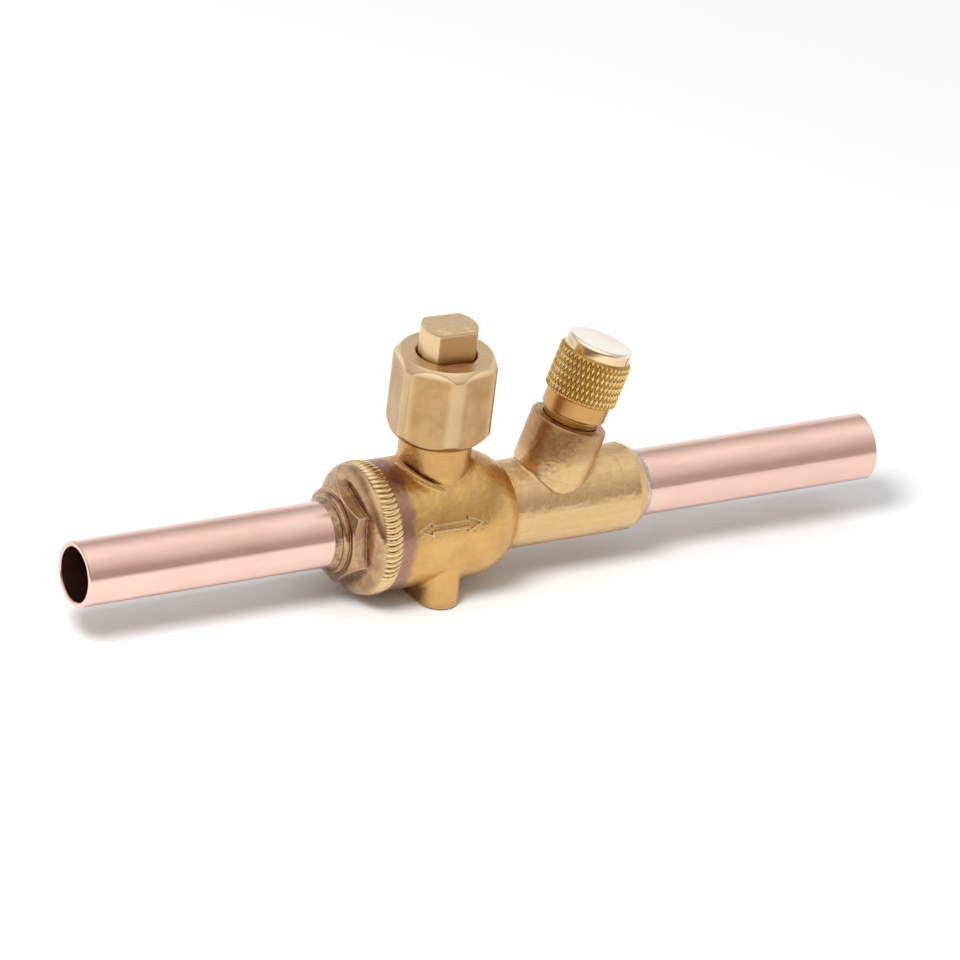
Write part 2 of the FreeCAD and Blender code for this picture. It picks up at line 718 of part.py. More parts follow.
def stem_stop_pin():
    """Cross pin that turns in the neck's quarter-turn pocket."""
    body = new_body("stem_stop_pin")
    sketch = new_sketch(body, "pin_section", "YZ_Plane", placing(z="-stem_radius + 0.3"))
    circle(sketch, "0", "stop_pin_at", "stop_pin_radius")
    extruded(body, "Pad", sketch, "stop_pin_reach + stem_radius - 0.3")
    return on_stem(body)


def stem_thrust_washer():
    hole = "stem_radius + running_gap"
    return on_stem(turned_piece("stem_thrust_washer", [
        (hole, "flange_top"), ("stem_flange_radius", "flange_top"),
        ("stem_flange_radius", "flange_pocket_top"), (hole, "flange_pocket_top")]))


def stem_ring(label, middle):
    return on_stem(ring_piece(label, "ring_section / 2", "stem_radius - ring_section / 2", middle))


def seal_cap():
    """Hexagonal cap with a two-flat tang that stands in a turned recess."""
    body = new_body("seal_cap")
    hexagon = new_sketch(body, "cap_hexagon", "XY_Plane", placing(z="seal_cap_bottom"))
    regular_hexagon(hexagon, "seal_cap_corner", "seal_cap_turn")
    extruded(body, "Pad", hexagon, "seal_cap_top - seal_cap_bottom")

    foot = new_sketch(body, "cap_foot_chamfer")
    outline(foot, [("seal_cap_foot_radius", "seal_cap_bottom"),
                   ("seal_cap_corner + 0.1", "seal_cap_bottom"),
                   ("seal_cap_corner + 0.1", "seal_cap_bottom + seal_cap_foot_chamfer")])
    turned(body, "Groove", foot, "V_Axis")
    crown = new_sketch(body, "cap_crown_chamfer")
    outline(crown, [("seal_cap_crown_radius", "seal_cap_top"),
                    ("seal_cap_corner + 0.1", "seal_cap_top - seal_cap_crown_chamfer"),
                    ("seal_cap_corner + 0.1", "seal_cap_top")])
    turned(body, "Groove", crown, "V_Axis")
    recess = new_sketch(body, "tang_recess", "XY_Plane", placing(z="seal_cap_top"))
    circle(recess, "0", "0", "tang_recess_radius")
    extruded(body, "Pocket", recess, "tang_recess_depth")

    tang = new_sketch(body, "tang_outline", "XY_Plane", placing(z="tang_floor", turn="tang_turn"))
    flat = "tang_flats / 2"
    reach = "sqrt(tang_radius ^ 2 - (tang_flats / 2) ^ 2)"
    outline(tang, [("-" + reach, "-" + flat), (reach, "-" + flat),
                   (reach, flat), ("-" + reach, flat)],
            {1: "tang_radius", 3: "tang_radius"})
    extruded(body, "Pad", tang, "tang_top - tang_floor")
    rim = new_sketch(body, "tang_chamfer")
    outline(rim, [("tang_radius - tang_chamfer", "tang_top"),
                  ("tang_radius + 0.1", "tang_top - tang_chamfer"),
                  ("tang_radius + 0.1", "tang_top")])
    turned(body, "Groove", rim, "V_Axis")

    bore = new_sketch(body, "cap_bore")
    outline(bore, [("0", "seal_cap_bottom"), ("seal_cap_bore", "seal_cap_bottom"),
                   ("seal_cap_bore", "gasket_top"), ("seal_cap_cavity_radius", "gasket_top"),
                   ("seal_cap_cavity_radius", "gasket_top + seal_cap_cavity_depth"),
                   ("0", "gasket_top + seal_cap_cavity_depth + seal_cap_cavity_radius / 2")])
    turned(body, "Groove", bore, "V_Axis")
    return on_stem(body)


def seal_cap_gasket():
    outer = "stem_neck_radius - 0.2"
    return on_stem(turned_piece("seal_cap_gasket", [
        ("gasket_inner_radius", "stem_neck_top"), (outer, "stem_neck_top"),
        (outer, "gasket_top"), ("gasket_inner_radius", "gasket_top")]))


def access_fitting():
    """Turned fitting brazed in the boss: shank, flare thread, flare cone and stepped bore."""
    return on_port(turned_piece("access_fitting", [
        ("lower_bore_radius", "boss_socket_at"), ("shank_radius", "boss_socket_at"),
        ("shank_radius", "flare_thread_at - 0.2"), ("flare_thread_radius", "flare_thread_at"),
        ("flare_thread_radius", "flare_cone_at"), ("nose_radius", "nose_at"),
        ("core_bore_radius + mouth_chamfer", "nose_at"),
        ("core_bore_radius", "nose_at - mouth_chamfer"), ("core_bore_radius", "core_bore_floor"),
        ("lower_bore_radius", "core_taper_floor")]))


def core_body():
    """Screwed housing of the valve core, with two flats on its head and a well for the spring."""
    body = turned_piece("core_body", [
        ("core_pin_radius + running_gap", "core_bottom_at"), ("core_neck_radius", "core_bottom_at"),
        ("core_neck_radius", "core_thread_floor"),
        ("core_thread_radius", "core_thread_floor"), ("core_thread_radius", "core_top"),
        ("core_spring_bore", "core_top"), ("core_spring_bore", "core_floor_at"),
        ("core_pin_radius + running_gap", "core_floor_at")])
    flats = new_sketch(body, "head_flats", "XY_Plane", placing(z="core_top"))
    wide, inner = "core_thread_radius + 0.5", "core_head_flats / 2"
    for side in ("", "-"):
        outline(flats, [("-({})".format(wide), side + inner), (wide, side + inner),
                        (wide, "{}({})".format(side, wide)),
                        ("-({})".format(wide), "{}({})".format(side, wide))])
    extruded(body, "Pocket", flats, "core_head_flat_length")
    return on_port(body)


def core_barrel_seal():
    """Ring that seals the core's neck against the taper in the fitting."""
    return on_port(turned_piece("core_barrel_seal", [
        ("core_neck_radius", "core_taper_floor"), ("lower_bore_radius", "core_taper_floor"),
        ("core_bore_radius", "core_bore_floor"), ("core_bore_radius", "core_bore_floor + 0.5"),
        ("core_neck_radius", "core_bore_floor + 0.5")]))


def core_pin():
    """Long pin with a collar over the spring and a cup at its foot."""
    return on_port(turned_piece("core_pin", [
        ("0", "core_cup_floor"), ("core_cup_radius", "core_cup_floor"),
        ("core_cup_radius", "core_disc_floor"), ("core_pin_radius", "core_disc_floor"),
        ("core_pin_radius", "core_pin_head_at"), ("core_pin_head_radius", "core_pin_head_at"),
        ("core_pin_head_radius", "core_pin_head_at + core_pin_head_thickness"),
        ("core_pin_radius", "core_pin_head_at + core_pin_head_thickness"),
        ("core_pin_radius", "core_pin_top_at"), ("0", "core_pin_top_at")]))


def core_seal_disc():
    """Rubber disc in the pin's cup that closes the core's foot."""
    return on_port(turned_piece("core_seal_disc", [
        ("core_pin_radius", "core_disc_floor"), ("core_cup_radius", "core_disc_floor"),
        ("core_cup_radius", "core_bottom_at"), ("core_pin_radius", "core_bottom_at")]))


def core_spring():
    """Compression spring between the core's floor and the pin's collar."""
    body = new_body("core_spring")
    wire = new_sketch(body, "spring_wire_section")
    circle(wire, "spring_radius", "core_floor_at + spring_wire / 2", "spring_wire / 2")
    coil = body.newObject("PartDesign::AdditiveHelix", "spring_coil")
    coil.Profile = wire
    coil.ReferenceAxis = (wire, ["V_Axis"])
    coil.Mode = "height-turns-angle"
    bind(coil, "Height", "core_pin_head_at - core_floor_at - spring_wire")
    bind(coil, "Turns", "spring_turns")
    doc.recompute()
    return on_port(body)


def knurled_drum():
    """Ring of diamond points. Columns run round it and rows along it, and each diamond is four
    flat faces that meet in a tip."""
    columns, rows = int(worth("knurl_columns")), int(worth("knurl_rows"))
    tip, root = worth("knurl_tip_radius"), worth("knurl_root_radius")
    low, high = worth("knurl_from"), worth("knurl_to")
    steps = 2 * columns

    def node(column, row):
        """Tips and roots take turns round the ring and along it."""
        radius = tip if (column + row) % 2 == 0 else root
        angle = 2 * math.pi * column / steps
        return Vector(radius * math.cos(angle), radius * math.sin(angle),
                      low + (high - low) * row / (2 * rows))

    def facet(*corners):
        return Part.Face(Part.makePolygon(list(corners) + [corners[0]]))

    faces = []
    for column in range(steps):
        for row in range(2 * rows):
            a, b = node(column, row), node(column + 1, row)
            c, d = node(column + 1, row + 1), node(column, row + 1)
            # Each cell is split along the line between its two roots.
            if (column + row) % 2 == 0:
                faces += [facet(a, b, d), facet(b, c, d)]
            else:
                faces += [facet(a, b, c), facet(a, c, d)]
    for row in (0, 2 * rows):
        faces.append(facet(*[node(column, row) for column in range(steps)]))
    drum = Part.Solid(Part.makeShell(faces))
    hollow = Part.makeCylinder(worth("access_cap_collar_radius"), high - low, Vector(0, 0, low))
    return drum.cut(hollow)


def access_cap():
    """Turned cap with a knurled band."""
    blank = turned_piece("cap_blank", [
        ("0", "access_cap_roof"), ("access_cap_bore", "access_cap_roof"),
        ("access_cap_bore", "access_cap_foot_at"),
        ("access_cap_collar_radius", "access_cap_foot_at"),
        ("access_cap_collar_radius", "knurl_to"), ("access_cap_crown_radius", "knurl_to"),
        ("access_cap_crown_radius", "access_cap_top - access_cap_round"),
        ("access_cap_crown_radius - access_cap_round", "access_cap_top"), ("0", "access_cap_top")],
        {6: "access_cap_round"})
    drum = doc.addObject("Part::Feature", "knurled_drum")
    drum.Shape = knurled_drum()
    cap = doc.addObject("Part::Fuse", "access_cap")
    cap.Base, cap.Tool = blank, drum
    return on_port(cap)


def access_cap_seal():
    return on_port(turned_piece("access_cap_seal", [
        ("0", "nose_at"), ("access_seal_radius", "nose_at"),
        ("access_seal_radius", "access_cap_roof"), ("0", "access_cap_roof")]))


pieces = [
    valve_body(), end_closure(), closure_weld_bead(), inlet_tube(), outlet_tube(),
    braze_ring("inlet_braze_ring", "-", "closure_collar_at"),
    braze_ring("outlet_braze_ring", "", "neck_end_at"),
    ball(), seat("inlet_seat", "-"), seat("outlet_seat", ""), seat_backing_ring(),
    stem(), stem_stop_pin(), stem_thrust_washer(),
    stem_ring("stem_o_ring_lower", "lower_ring_at"),
    stem_ring("stem_o_ring_upper", "upper_ring_at"),
    seal_cap(), seal_cap_gasket(),
    access_fitting(), access_cap(), access_cap_seal(),
    core_body(), core_barrel_seal(), core_pin(), core_seal_disc(), core_spring(),
]
doc.recompute()

for item in doc.Objects:
    if "Invalid" in item.State or "Error" in item.State:
        raise RuntimeError("%s could not be built: %s" % (item.Label, item.State))
for piece in pieces:
    if piece.Shape.isNull() or not piece.Shape.isValid() or not piece.Shape.Solids:
        raise RuntimeError("%s is not a sound solid" % piece.Label)

os.makedirs("parts", exist_ok=True)
for piece in pieces:
    piece.Shape.exportStep("parts/%s.step" % piece.Label)
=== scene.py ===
import bmesh
import bpy
import json
import math
import random
from mathutils import Matrix, Vector

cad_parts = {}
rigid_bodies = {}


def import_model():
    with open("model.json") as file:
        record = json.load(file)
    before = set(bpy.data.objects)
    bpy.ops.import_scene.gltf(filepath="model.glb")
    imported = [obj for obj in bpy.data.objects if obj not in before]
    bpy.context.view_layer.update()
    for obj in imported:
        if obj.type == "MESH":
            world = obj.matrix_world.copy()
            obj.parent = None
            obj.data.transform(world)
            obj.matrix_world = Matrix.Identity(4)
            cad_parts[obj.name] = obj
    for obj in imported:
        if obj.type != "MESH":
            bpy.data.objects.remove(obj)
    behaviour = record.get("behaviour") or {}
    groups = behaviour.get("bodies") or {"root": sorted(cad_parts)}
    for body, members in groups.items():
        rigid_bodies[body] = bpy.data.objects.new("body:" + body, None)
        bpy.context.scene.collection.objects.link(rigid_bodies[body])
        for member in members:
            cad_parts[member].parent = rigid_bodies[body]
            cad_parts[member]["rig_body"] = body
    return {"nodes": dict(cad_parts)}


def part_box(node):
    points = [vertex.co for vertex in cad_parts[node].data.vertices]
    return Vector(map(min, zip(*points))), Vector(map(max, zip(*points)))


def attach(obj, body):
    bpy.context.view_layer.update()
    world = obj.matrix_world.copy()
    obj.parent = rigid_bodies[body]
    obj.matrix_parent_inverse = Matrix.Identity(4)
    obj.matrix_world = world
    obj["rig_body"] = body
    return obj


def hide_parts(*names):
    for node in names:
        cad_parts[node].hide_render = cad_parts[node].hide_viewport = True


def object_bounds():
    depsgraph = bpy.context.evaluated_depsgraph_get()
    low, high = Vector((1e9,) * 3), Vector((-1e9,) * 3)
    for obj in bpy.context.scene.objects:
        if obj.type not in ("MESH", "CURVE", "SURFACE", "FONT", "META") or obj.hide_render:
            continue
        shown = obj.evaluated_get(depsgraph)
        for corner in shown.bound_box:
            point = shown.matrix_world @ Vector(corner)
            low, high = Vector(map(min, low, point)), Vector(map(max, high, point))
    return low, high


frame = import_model()
cad_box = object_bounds()

MM = 0.001
NODES = frame["nodes"]

# Axes that the pieces are made about, as (origin, tilt about +Y in degrees). Their Z runs up the
# stem, up the access port, along the pipe to the outlet, and along the pipe to the inlet.
STEM_AT = (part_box("seal_cap")[0].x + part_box("seal_cap")[1].x) / 2 / MM
PORT_OFFSET = 24.3
PORT_TILT = 17.0
STEM_AXIS = (STEM_AT, 0.0)
PORT_AXIS = (STEM_AT + PORT_OFFSET, PORT_TILT)
PIPE_AXIS = (STEM_AT, 90.0)
CLOSURE_AXIS = (STEM_AT, -90.0)

# The weld bead's middle and half width along the pipe, from the stem, and its greatest radius
weld_low, weld_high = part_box("closure_weld_bead")
WELD_CENTRE = (weld_low.x + weld_high.x) / 2 / MM - STEM_AT
WELD_HALF = (weld_high.x - weld_low.x) / 2 / MM
WELD_RADIUS = (weld_high.z - weld_low.z) / 2 / MM

# Sizes that more than one piece or finish uses. Heights are along the piece's own axis.
BARREL_RADIUS = 12.5
KNURL_FROM = 22.5
KNURL_TO = 31.2
KNURL_ROOT = 6.68
KNURL_TIP = 7.1
PORT_CAP_TOP = 33.8
CAP_FLATS = 18.2
CAP_BLANK = 10.1
CAP_FOOT = 17.9
CAP_TOP = 35.3
TANG_RADIUS = 5.5
TANG_FLAT = 4.05
TANG_TOP = 41.2

# Colours of the metals, in linear light
FORGED_YELLOW = (0.70, 0.43, 0.15)
# Brown patches of the forged skin, also the painted shade on the stem's neck
FORGED_BROWN_AND_SHADE = (0.57, 0.32, 0.12)
# Painted shade on the access boss
BOSS_SHADE = (0.41, 0.22, 0.09)
MACHINED_PALE = (0.74, 0.51, 0.26)
MACHINED_BROWN = (0.66, 0.43, 0.20)
# Painted shade for the hollows of the body and the turned parts
HOLLOW_SHADE = (0.30, 0.13, 0.045)
HEAT_TINT = (0.34, 0.19, 0.145)
FLAT_TAN = (0.54, 0.34, 0.155)
FLAT_BROWN = (0.44, 0.265, 0.115)
# Pale cut metal, also the painted highlight on the body's edges and the seal cap's crown
CUT_AND_HIGHLIGHT_PALE = (0.80, 0.60, 0.35)
# Paler turned corners of the seal cap, partly a painted highlight
CORNER_PALE_AND_HIGHLIGHT = (0.68, 0.50, 0.275)
# Painted highlight on the seal cap's edges
EDGE_HIGHLIGHT_PALE = (0.86, 0.68, 0.45)
# Painted shade on the tang's flats
TANG_FLAT_SHADE = (0.39, 0.195, 0.07)
# Painted shade in the recess round the tang
RECESS_SHADE = (0.45, 0.215, 0.07)
CLOSURE_OLIVE = (0.60, 0.40, 0.21)
CLOSURE_TINT = (0.30, 0.165, 0.10)
# Painted shade in the closure's hollows
CLOSURE_HOLLOW_SHADE = (0.12, 0.06, 0.035)
# Painted highlight on the closure's edges
CLOSURE_EDGE_HIGHLIGHT = (0.90, 0.70, 0.50)
WELD_GOLD = (0.82, 0.60, 0.31)
# Painted shade in the weld's valleys
WELD_VALLEY_SHADE = (0.16, 0.075, 0.025)
WELD_SIDE = (0.46, 0.28, 0.14)
CAP_YELLOW = (0.82, 0.58, 0.24)
CAP_ORANGE = (0.66, 0.40, 0.13)
# Painted shade in the knurl's grooves
KNURL_GROOVE_SHADE = (0.36, 0.20, 0.04)
# Painted shade on the skirt below the knurl
SKIRT_SHADE = (0.58, 0.32, 0.11)
# Polished crown metal, with a painted highlight on the top
CROWN_PALE_AND_HIGHLIGHT = (0.90, 0.81, 0.70)
COPPER = (0.86, 0.60, 0.515)
COPPER_DEEP = (0.80, 0.50, 0.41)
# Painted shade in the copper tube's hollows
COPPER_HOLLOW_SHADE = (0.30, 0.13, 0.08)
SILVER = (0.62, 0.59, 0.55)
SILVER_DULL = (0.46, 0.42, 0.37)
BRAZE_BROWN = (0.46, 0.32, 0.19)
BRAZE_DULL = (0.30, 0.18, 0.10)


class Tree:
    """A material's node tree with short ways to add nodes. Sockets are given by name."""

    def __init__(self, name):
        self.material = bpy.data.materials.new(name)
        self.material.use_nodes = True
        self.nodes = self.material.node_tree.nodes
        self.links = self.material.node_tree.links
        self.nodes.clear()
        self.shader = self.add("ShaderNodeBsdfPrincipled")
        out = self.add("ShaderNodeOutputMaterial")
        self.links.new(self.shader.outputs["BSDF"], out.inputs["Surface"])

    def add(self, kind, options=None, **inputs):
        node = self.nodes.new(kind)
        for key, value in (options or {}).items():
            setattr(node, key, value)
        for key, value in inputs.items():
            self.put(node, key.replace("_", " "), value)
        return node

    def put(self, node, key, value):
        """Links a socket, or sets a plain value."""
        socket = node.inputs[int(key)] if key.isdigit() else node.inputs[key]
        if isinstance(value, bpy.types.NodeSocket):
            self.links.new(value, socket)
        else:
            socket.default_value = value

    def math(self, operation, first, second=0.0):
        node = self.add("ShaderNodeMath", {"operation": operation})
        self.put(node, "0", first)
        self.put(node, "1", second)
        return node.outputs[0]

    def times(self, first, second):
        return self.math("MULTIPLY", first, second)

    def plus(self, first, second):
        return self.math("ADD", first, second)

    def place(self, axis):
        """Coordinates in mm about an axis, with z along it. They stay with the piece."""
        origin, tilt = axis
        coords = self.add("ShaderNodeTexCoord").outputs["Object"]
        mapping = self.add("ShaderNodeMapping", {"vector_type": "TEXTURE"}, Vector=coords,
                           Location=(origin * MM, 0, 0), Rotation=(0, math.radians(tilt), 0),
                           Scale=(MM, MM, MM))
        return mapping.outputs[0]

    def stretch(self, coords, scale):
        return self.add("ShaderNodeMapping", Vector=coords, Scale=scale).outputs[0]

    def noise(self, coords, scale=1.0, detail=3.0, roughness=0.55):
        return self.add("ShaderNodeTexNoise", Vector=coords, Scale=scale, Detail=detail,
                        Roughness=roughness).outputs["Fac"]

    def component(self, coords, letter):
        return self.add("ShaderNodeSeparateXYZ", Vector=coords).outputs[letter]

    def around(self, coords):
        """(distance from the axis, height along it) of the coordinates, as one vector."""
        split = self.add("ShaderNodeSeparateXYZ", Vector=coords)
        flat = self.add("ShaderNodeCombineXYZ", X=split.outputs["X"], Y=split.outputs["Y"])
        radius = self.add("ShaderNodeVectorMath", {"operation": "LENGTH"}, Vector=flat.outputs[0])
        both = self.add("ShaderNodeCombineXYZ", X=radius.outputs["Value"], Y=split.outputs["Z"])
        return both.outputs[0]

    def radius(self, coords):
        return self.component(self.around(coords), "X")

    def rings(self, coords, outward, along, detail=2.0):
        """Noise that is the same all round the axis, as a lathe's tool leaves it."""
        return self.noise(self.stretch(self.around(coords), (outward, along, 1.0)), detail=detail)

    def between(self, value, low, high, from_low=0.0, from_high=1.0):
        """Maps a range of a value to low..high, held at its ends."""
        node = self.add("ShaderNodeMapRange", {"interpolation_type": "SMOOTHSTEP"}, Value=value)
        for key, number in (("From Min", from_low), ("From Max", from_high),
                            ("To Min", low), ("To Max", high)):
            self.put(node, key, number)
        return node.outputs["Result"]

    def above(self, value, *levels, share=1.0):
        """Rises from 0 to a share while the value passes from one level to the next."""
        return self.between(value, 0.0, share, *levels)

    def below(self, value, *levels, share=1.0):
        """Falls from a share to 0 while the value passes from one level to the next."""
        return self.between(value, share, 0.0, *levels)

    def mix(self, share, first, second):
        """Mixes two colours."""
        node = self.add("ShaderNodeMix", {"data_type": "RGBA"})
        self.put(node, "0", share)
        for key, value in (("6", first), ("7", second)):
            self.put(node, key, (*value, 1) if isinstance(value, tuple) else value)
        return node.outputs[2]

    def shade_hollows(self, color, dark, reach, share=0.8, levels=(0.3, 0.9)):
        """Paints shade into hollows, by how much is open within reach: all of it at the first
        level.
        """
        node = self.add("ShaderNodeAmbientOcclusion", {"samples": 8, "only_local": False},
                        Distance=reach * MM)
        return self.mix(self.below(node.outputs["AO"], *levels, share=share), color, dark)

    def highlight_edges(self, color, pale, reach, share=0.8):
        """Paints a highlight along convex edges, where little of the metal lies within reach."""
        node = self.add("ShaderNodeAmbientOcclusion", {"samples": 8, "inside": True,
                                                       "only_local": True}, Distance=reach * MM)
        return self.mix(self.below(node.outputs["AO"], 0.55, 0.95, share=share), color, pale)

    def bumps(self, edge, *layers):
        """Rounds the edges and lays bumps of (height, depth in mm) over them."""
        normal = self.add("ShaderNodeBevel", {"samples": 6}, Radius=edge * MM).outputs[0]
        for height, depth in layers:
            node = self.add("ShaderNodeBump", Height=height, Distance=depth * MM, Normal=normal)
            node.inputs["Strength"].default_value = 1.0
            normal = node.outputs[0]
        self.put(self.shader, "Normal", normal)

    def finish(self, color, roughness, metallic=1.0):
        self.put(self.shader, "Base Color", color)
        self.put(self.shader, "Roughness", roughness)
        self.put(self.shader, "Metallic", metallic)
        return self.material


# Where the body's finish changes, as (from, to): along the pipe to the brushed outlet neck, up to
# the necks that carry painted shade, and along the pipe away from the weld's heat
OUTLET_NECK = (15.0, 16.5)
RAISED = (9.2, 13.0)
HEATED = (-8.6, -6.6)


def forged_brass():
    """Die-forged skin on the barrel and brushed metal on the outlet neck, with painted shade in
    the hollows and on the necks and a painted highlight along the edges.
    """
    tree = Tree("forged_brass_skin")
    coords = tree.place(PIPE_AXIS)
    along = tree.component(coords, "Z")
    up = tree.times(tree.component(coords, "X"), -1.0)
    cloud = tree.noise(coords, scale=0.16, detail=4.0)
    forged = tree.mix(tree.above(cloud, 0.38, 0.68, share=0.7), FORGED_YELLOW, FORGED_BROWN_AND_SHADE)
    streaks = tree.noise(tree.stretch(coords, (1.1, 1.1, 0.07)), detail=4.0, roughness=0.6)
    brushed = tree.mix(tree.above(streaks, 0.36, 0.62, share=0.5), MACHINED_PALE, MACHINED_BROWN)
    machined = tree.above(along, *OUTLET_NECK)
    color = tree.mix(machined, forged, brushed)
    # The access boss and the stem's neck are painted browner than the pipe's neck, as painted
    # shade.
    shaded_necks = tree.mix(machined, FORGED_BROWN_AND_SHADE, BOSS_SHADE)
    color = tree.mix(tree.above(up, *RAISED, share=0.75), color, shaded_necks)
    # Painted shade in the hollows
    color = tree.shade_hollows(color, HOLLOW_SHADE, reach=2.4)
    # A painted highlight along the body's convex edges
    color = tree.highlight_edges(color, CUT_AND_HIGHLIGHT_PALE, reach=0.5, share=0.64)
    # The weld's heat leaves a brown and pink band on the barrel beside it.
    wander = tree.times(tree.noise(coords, scale=0.35), 3.0)
    color = tree.mix(tree.below(tree.plus(along, wander), *HEATED, share=0.9), color, HEAT_TINT)
    grain = tree.noise(coords, scale=1.8, detail=2.0)
    swell = tree.noise(coords, scale=0.5, detail=2.0)
    rings = tree.rings(coords, outward=2.0, along=14.0)
    skin = tree.times(grain, tree.between(machined, 0.024, 0.004))
    turning = tree.times(rings, tree.between(machined, 0.0, 0.008))
    lines = tree.times(streaks, tree.between(machined, 0.0, 0.02))
    tree.bumps(0.18, (swell, 0.16), (tree.plus(skin, tree.plus(turning, lines)), 1.0))
    return tree.finish(color, tree.between(tree.noise(coords, scale=1.1), 0.27, 0.40, 0.3, 0.7))


def turned_brass(name, axis, color, dark):
    """Turned on a lathe: fine rings about the axis."""
    tree = Tree(name)
    coords = tree.place(axis)
    rings = tree.rings(coords, outward=12.0, along=12.0)
    cloud = tree.noise(coords, scale=0.3)
    shade = tree.mix(tree.above(cloud, 0.35, 0.7, share=0.5), color, dark)
    # Painted shade in the hollows
    shade = tree.shade_hollows(shade, HOLLOW_SHADE, reach=1.5)
    tree.bumps(0.15, (rings, 0.008), (tree.noise(coords, scale=5.0), 0.008))
    return tree.finish(shade, tree.between(rings, 0.24, 0.34, 0.3, 0.7))


def access_cap_brass():
    """Bright rolled diamonds over grooves with painted shade, a skirt with painted shade, and a
    polished, dished crown whose pale top is partly a painted highlight.
    """
    tree = Tree("access_cap_brass")
    coords = tree.place(PORT_AXIS)
    height = tree.component(coords, "Z")
    cloud = tree.noise(coords, scale=0.3)
    shade = tree.mix(tree.above(cloud, 0.35, 0.7, share=0.5), CAP_YELLOW, CAP_ORANGE)
    # The skirt below the knurl is painted darker, a painted shade.
    skirt = tree.below(height, KNURL_FROM - 0.3, KNURL_FROM + 0.3)
    shade = tree.mix(skirt, shade, SKIRT_SHADE)
    # The knurl's grooves are painted darker, a painted shade.
    deep = tree.below(tree.radius(coords), KNURL_ROOT + 0.04, KNURL_TIP - 0.1, share=0.85)
    knurled = tree.times(tree.above(height, KNURL_FROM + 0.3, KNURL_FROM + 0.5),
                         tree.below(height, KNURL_TO + 0.3, KNURL_TO + 0.5))
    shade = tree.mix(tree.times(deep, knurled), shade, KNURL_GROOVE_SHADE)
    # The crown is polished and paler, and its top is lighter still, partly a painted highlight.
    crown = tree.plus(tree.above(height, KNURL_TO + 0.2, KNURL_TO + 0.7, share=0.3),
                      tree.above(height, PORT_CAP_TOP - 0.8, PORT_CAP_TOP - 0.2, share=0.65))
    shade = tree.mix(crown, shade, CROWN_PALE_AND_HIGHLIGHT)
    tree.bumps(0.12, (tree.rings(coords, outward=14.0, along=14.0), 0.005))
    return tree.finish(shade, tree.between(height, 0.28, 0.09, KNURL_TO + 0.3, KNURL_TO + 0.7))


def seal_cap_brass():
    """Satin milled flats, paler turned corners and crown that are partly a painted highlight,
    painted shade on the tang's flats and in the recess, a painted highlight on the edges, and a
    rough top on the tang.
    """
    tree = Tree("seal_cap_brass")
    coords = tree.place(STEM_AXIS)
    height, radius = tree.component(coords, "Z"), tree.radius(coords)
    cloud = tree.noise(coords, scale=0.22, detail=4.0)
    shade = tree.mix(tree.above(cloud, 0.34, 0.66), FLAT_TAN, FLAT_BROWN)
    # The turned corner bands and the crown are painted paler: turned metal, partly a painted
    # highlight.
    corner = tree.above(radius, CAP_FLATS / 2 + 0.4, CAP_BLANK - 0.05, share=0.62)
    shade = tree.mix(corner, shade, CORNER_PALE_AND_HIGHLIGHT)
    crown = tree.above(height, CAP_TOP - 2.1, CAP_TOP - 0.9, share=0.9)
    shade = tree.mix(crown, shade, CUT_AND_HIGHLIGHT_PALE)
    # The tang's flats are painted darker brown, a painted shade.
    tang = tree.times(tree.above(height, CAP_TOP - 1.3, CAP_TOP - 0.7),
                      tree.below(height, TANG_TOP - 0.9, TANG_TOP - 0.2, share=0.85))
    tang = tree.times(tang, tree.below(radius, TANG_RADIUS + 0.05, TANG_RADIUS + 0.2))
    off_axis = tree.math("ABSOLUTE", tree.component(coords, "Y"))
    flat = tree.above(off_axis, TANG_FLAT - 0.45, TANG_FLAT - 0.3)
    shade = tree.mix(tree.times(tang, flat), shade, TANG_FLAT_SHADE)
    # Painted shade in the recess round the tang and in other hollows
    shade = tree.shade_hollows(shade, RECESS_SHADE, reach=2.0, levels=(0.2, 0.8))
    # A painted highlight along the cap's convex edges
    shade = tree.highlight_edges(shade, EDGE_HIGHLIGHT_PALE, reach=0.4)
    streaks = tree.noise(tree.stretch(coords, (5.0, 5.0, 0.35)))
    grain = tree.noise(coords, scale=3.5, detail=4.0, roughness=0.6)
    cut = tree.noise(tree.stretch(coords, (0.4, 0.4, 1.0)))
    top = tree.above(height, TANG_TOP - 0.2, TANG_TOP - 0.05)
    tree.bumps(0.35, (streaks, 0.012), (grain, 0.02), (tree.times(cut, top), 0.8))
    return tree.finish(shade, tree.between(grain, 0.30, 0.40, 0.3, 0.7))


def closure_brass():
    """Turned closure, tinted by the weld's heat, with painted shade in its hollows and a painted
    highlight along its edges.
    """
    tree = Tree("closure_brass")
    coords = tree.place(PIPE_AXIS)
    weld_edge = WELD_CENTRE - WELD_HALF
    wander = tree.times(tree.noise(coords, scale=0.5, detail=4.0), 1.6)
    edge = tree.plus(tree.component(coords, "Z"), wander)
    tint = tree.between(edge, 1.0, 0.25, weld_edge - 0.3, weld_edge + 1.1)
    blotch = tree.noise(coords, scale=0.45, detail=4.0, roughness=0.6)
    patch = tree.between(blotch, 0.15, 0.75, 0.35, 0.62)
    color = tree.mix(tree.times(tint, patch), CLOSURE_OLIVE, CLOSURE_TINT)
    # Painted shade in the hollows
    color = tree.shade_hollows(color, CLOSURE_HOLLOW_SHADE, reach=2.4, share=0.9, levels=(0.35, 0.92))
    # A painted highlight along the convex edges
    color = tree.highlight_edges(color, CLOSURE_EDGE_HIGHLIGHT, reach=0.45)
    rings = tree.rings(coords, outward=7.0, along=7.0, detail=3.0)
    tree.bumps(0.28, (rings, 0.012), (tree.noise(coords, scale=1.2), 0.03))
    return tree.finish(color, tree.between(rings, 0.14, 0.22, 0.3, 0.7))


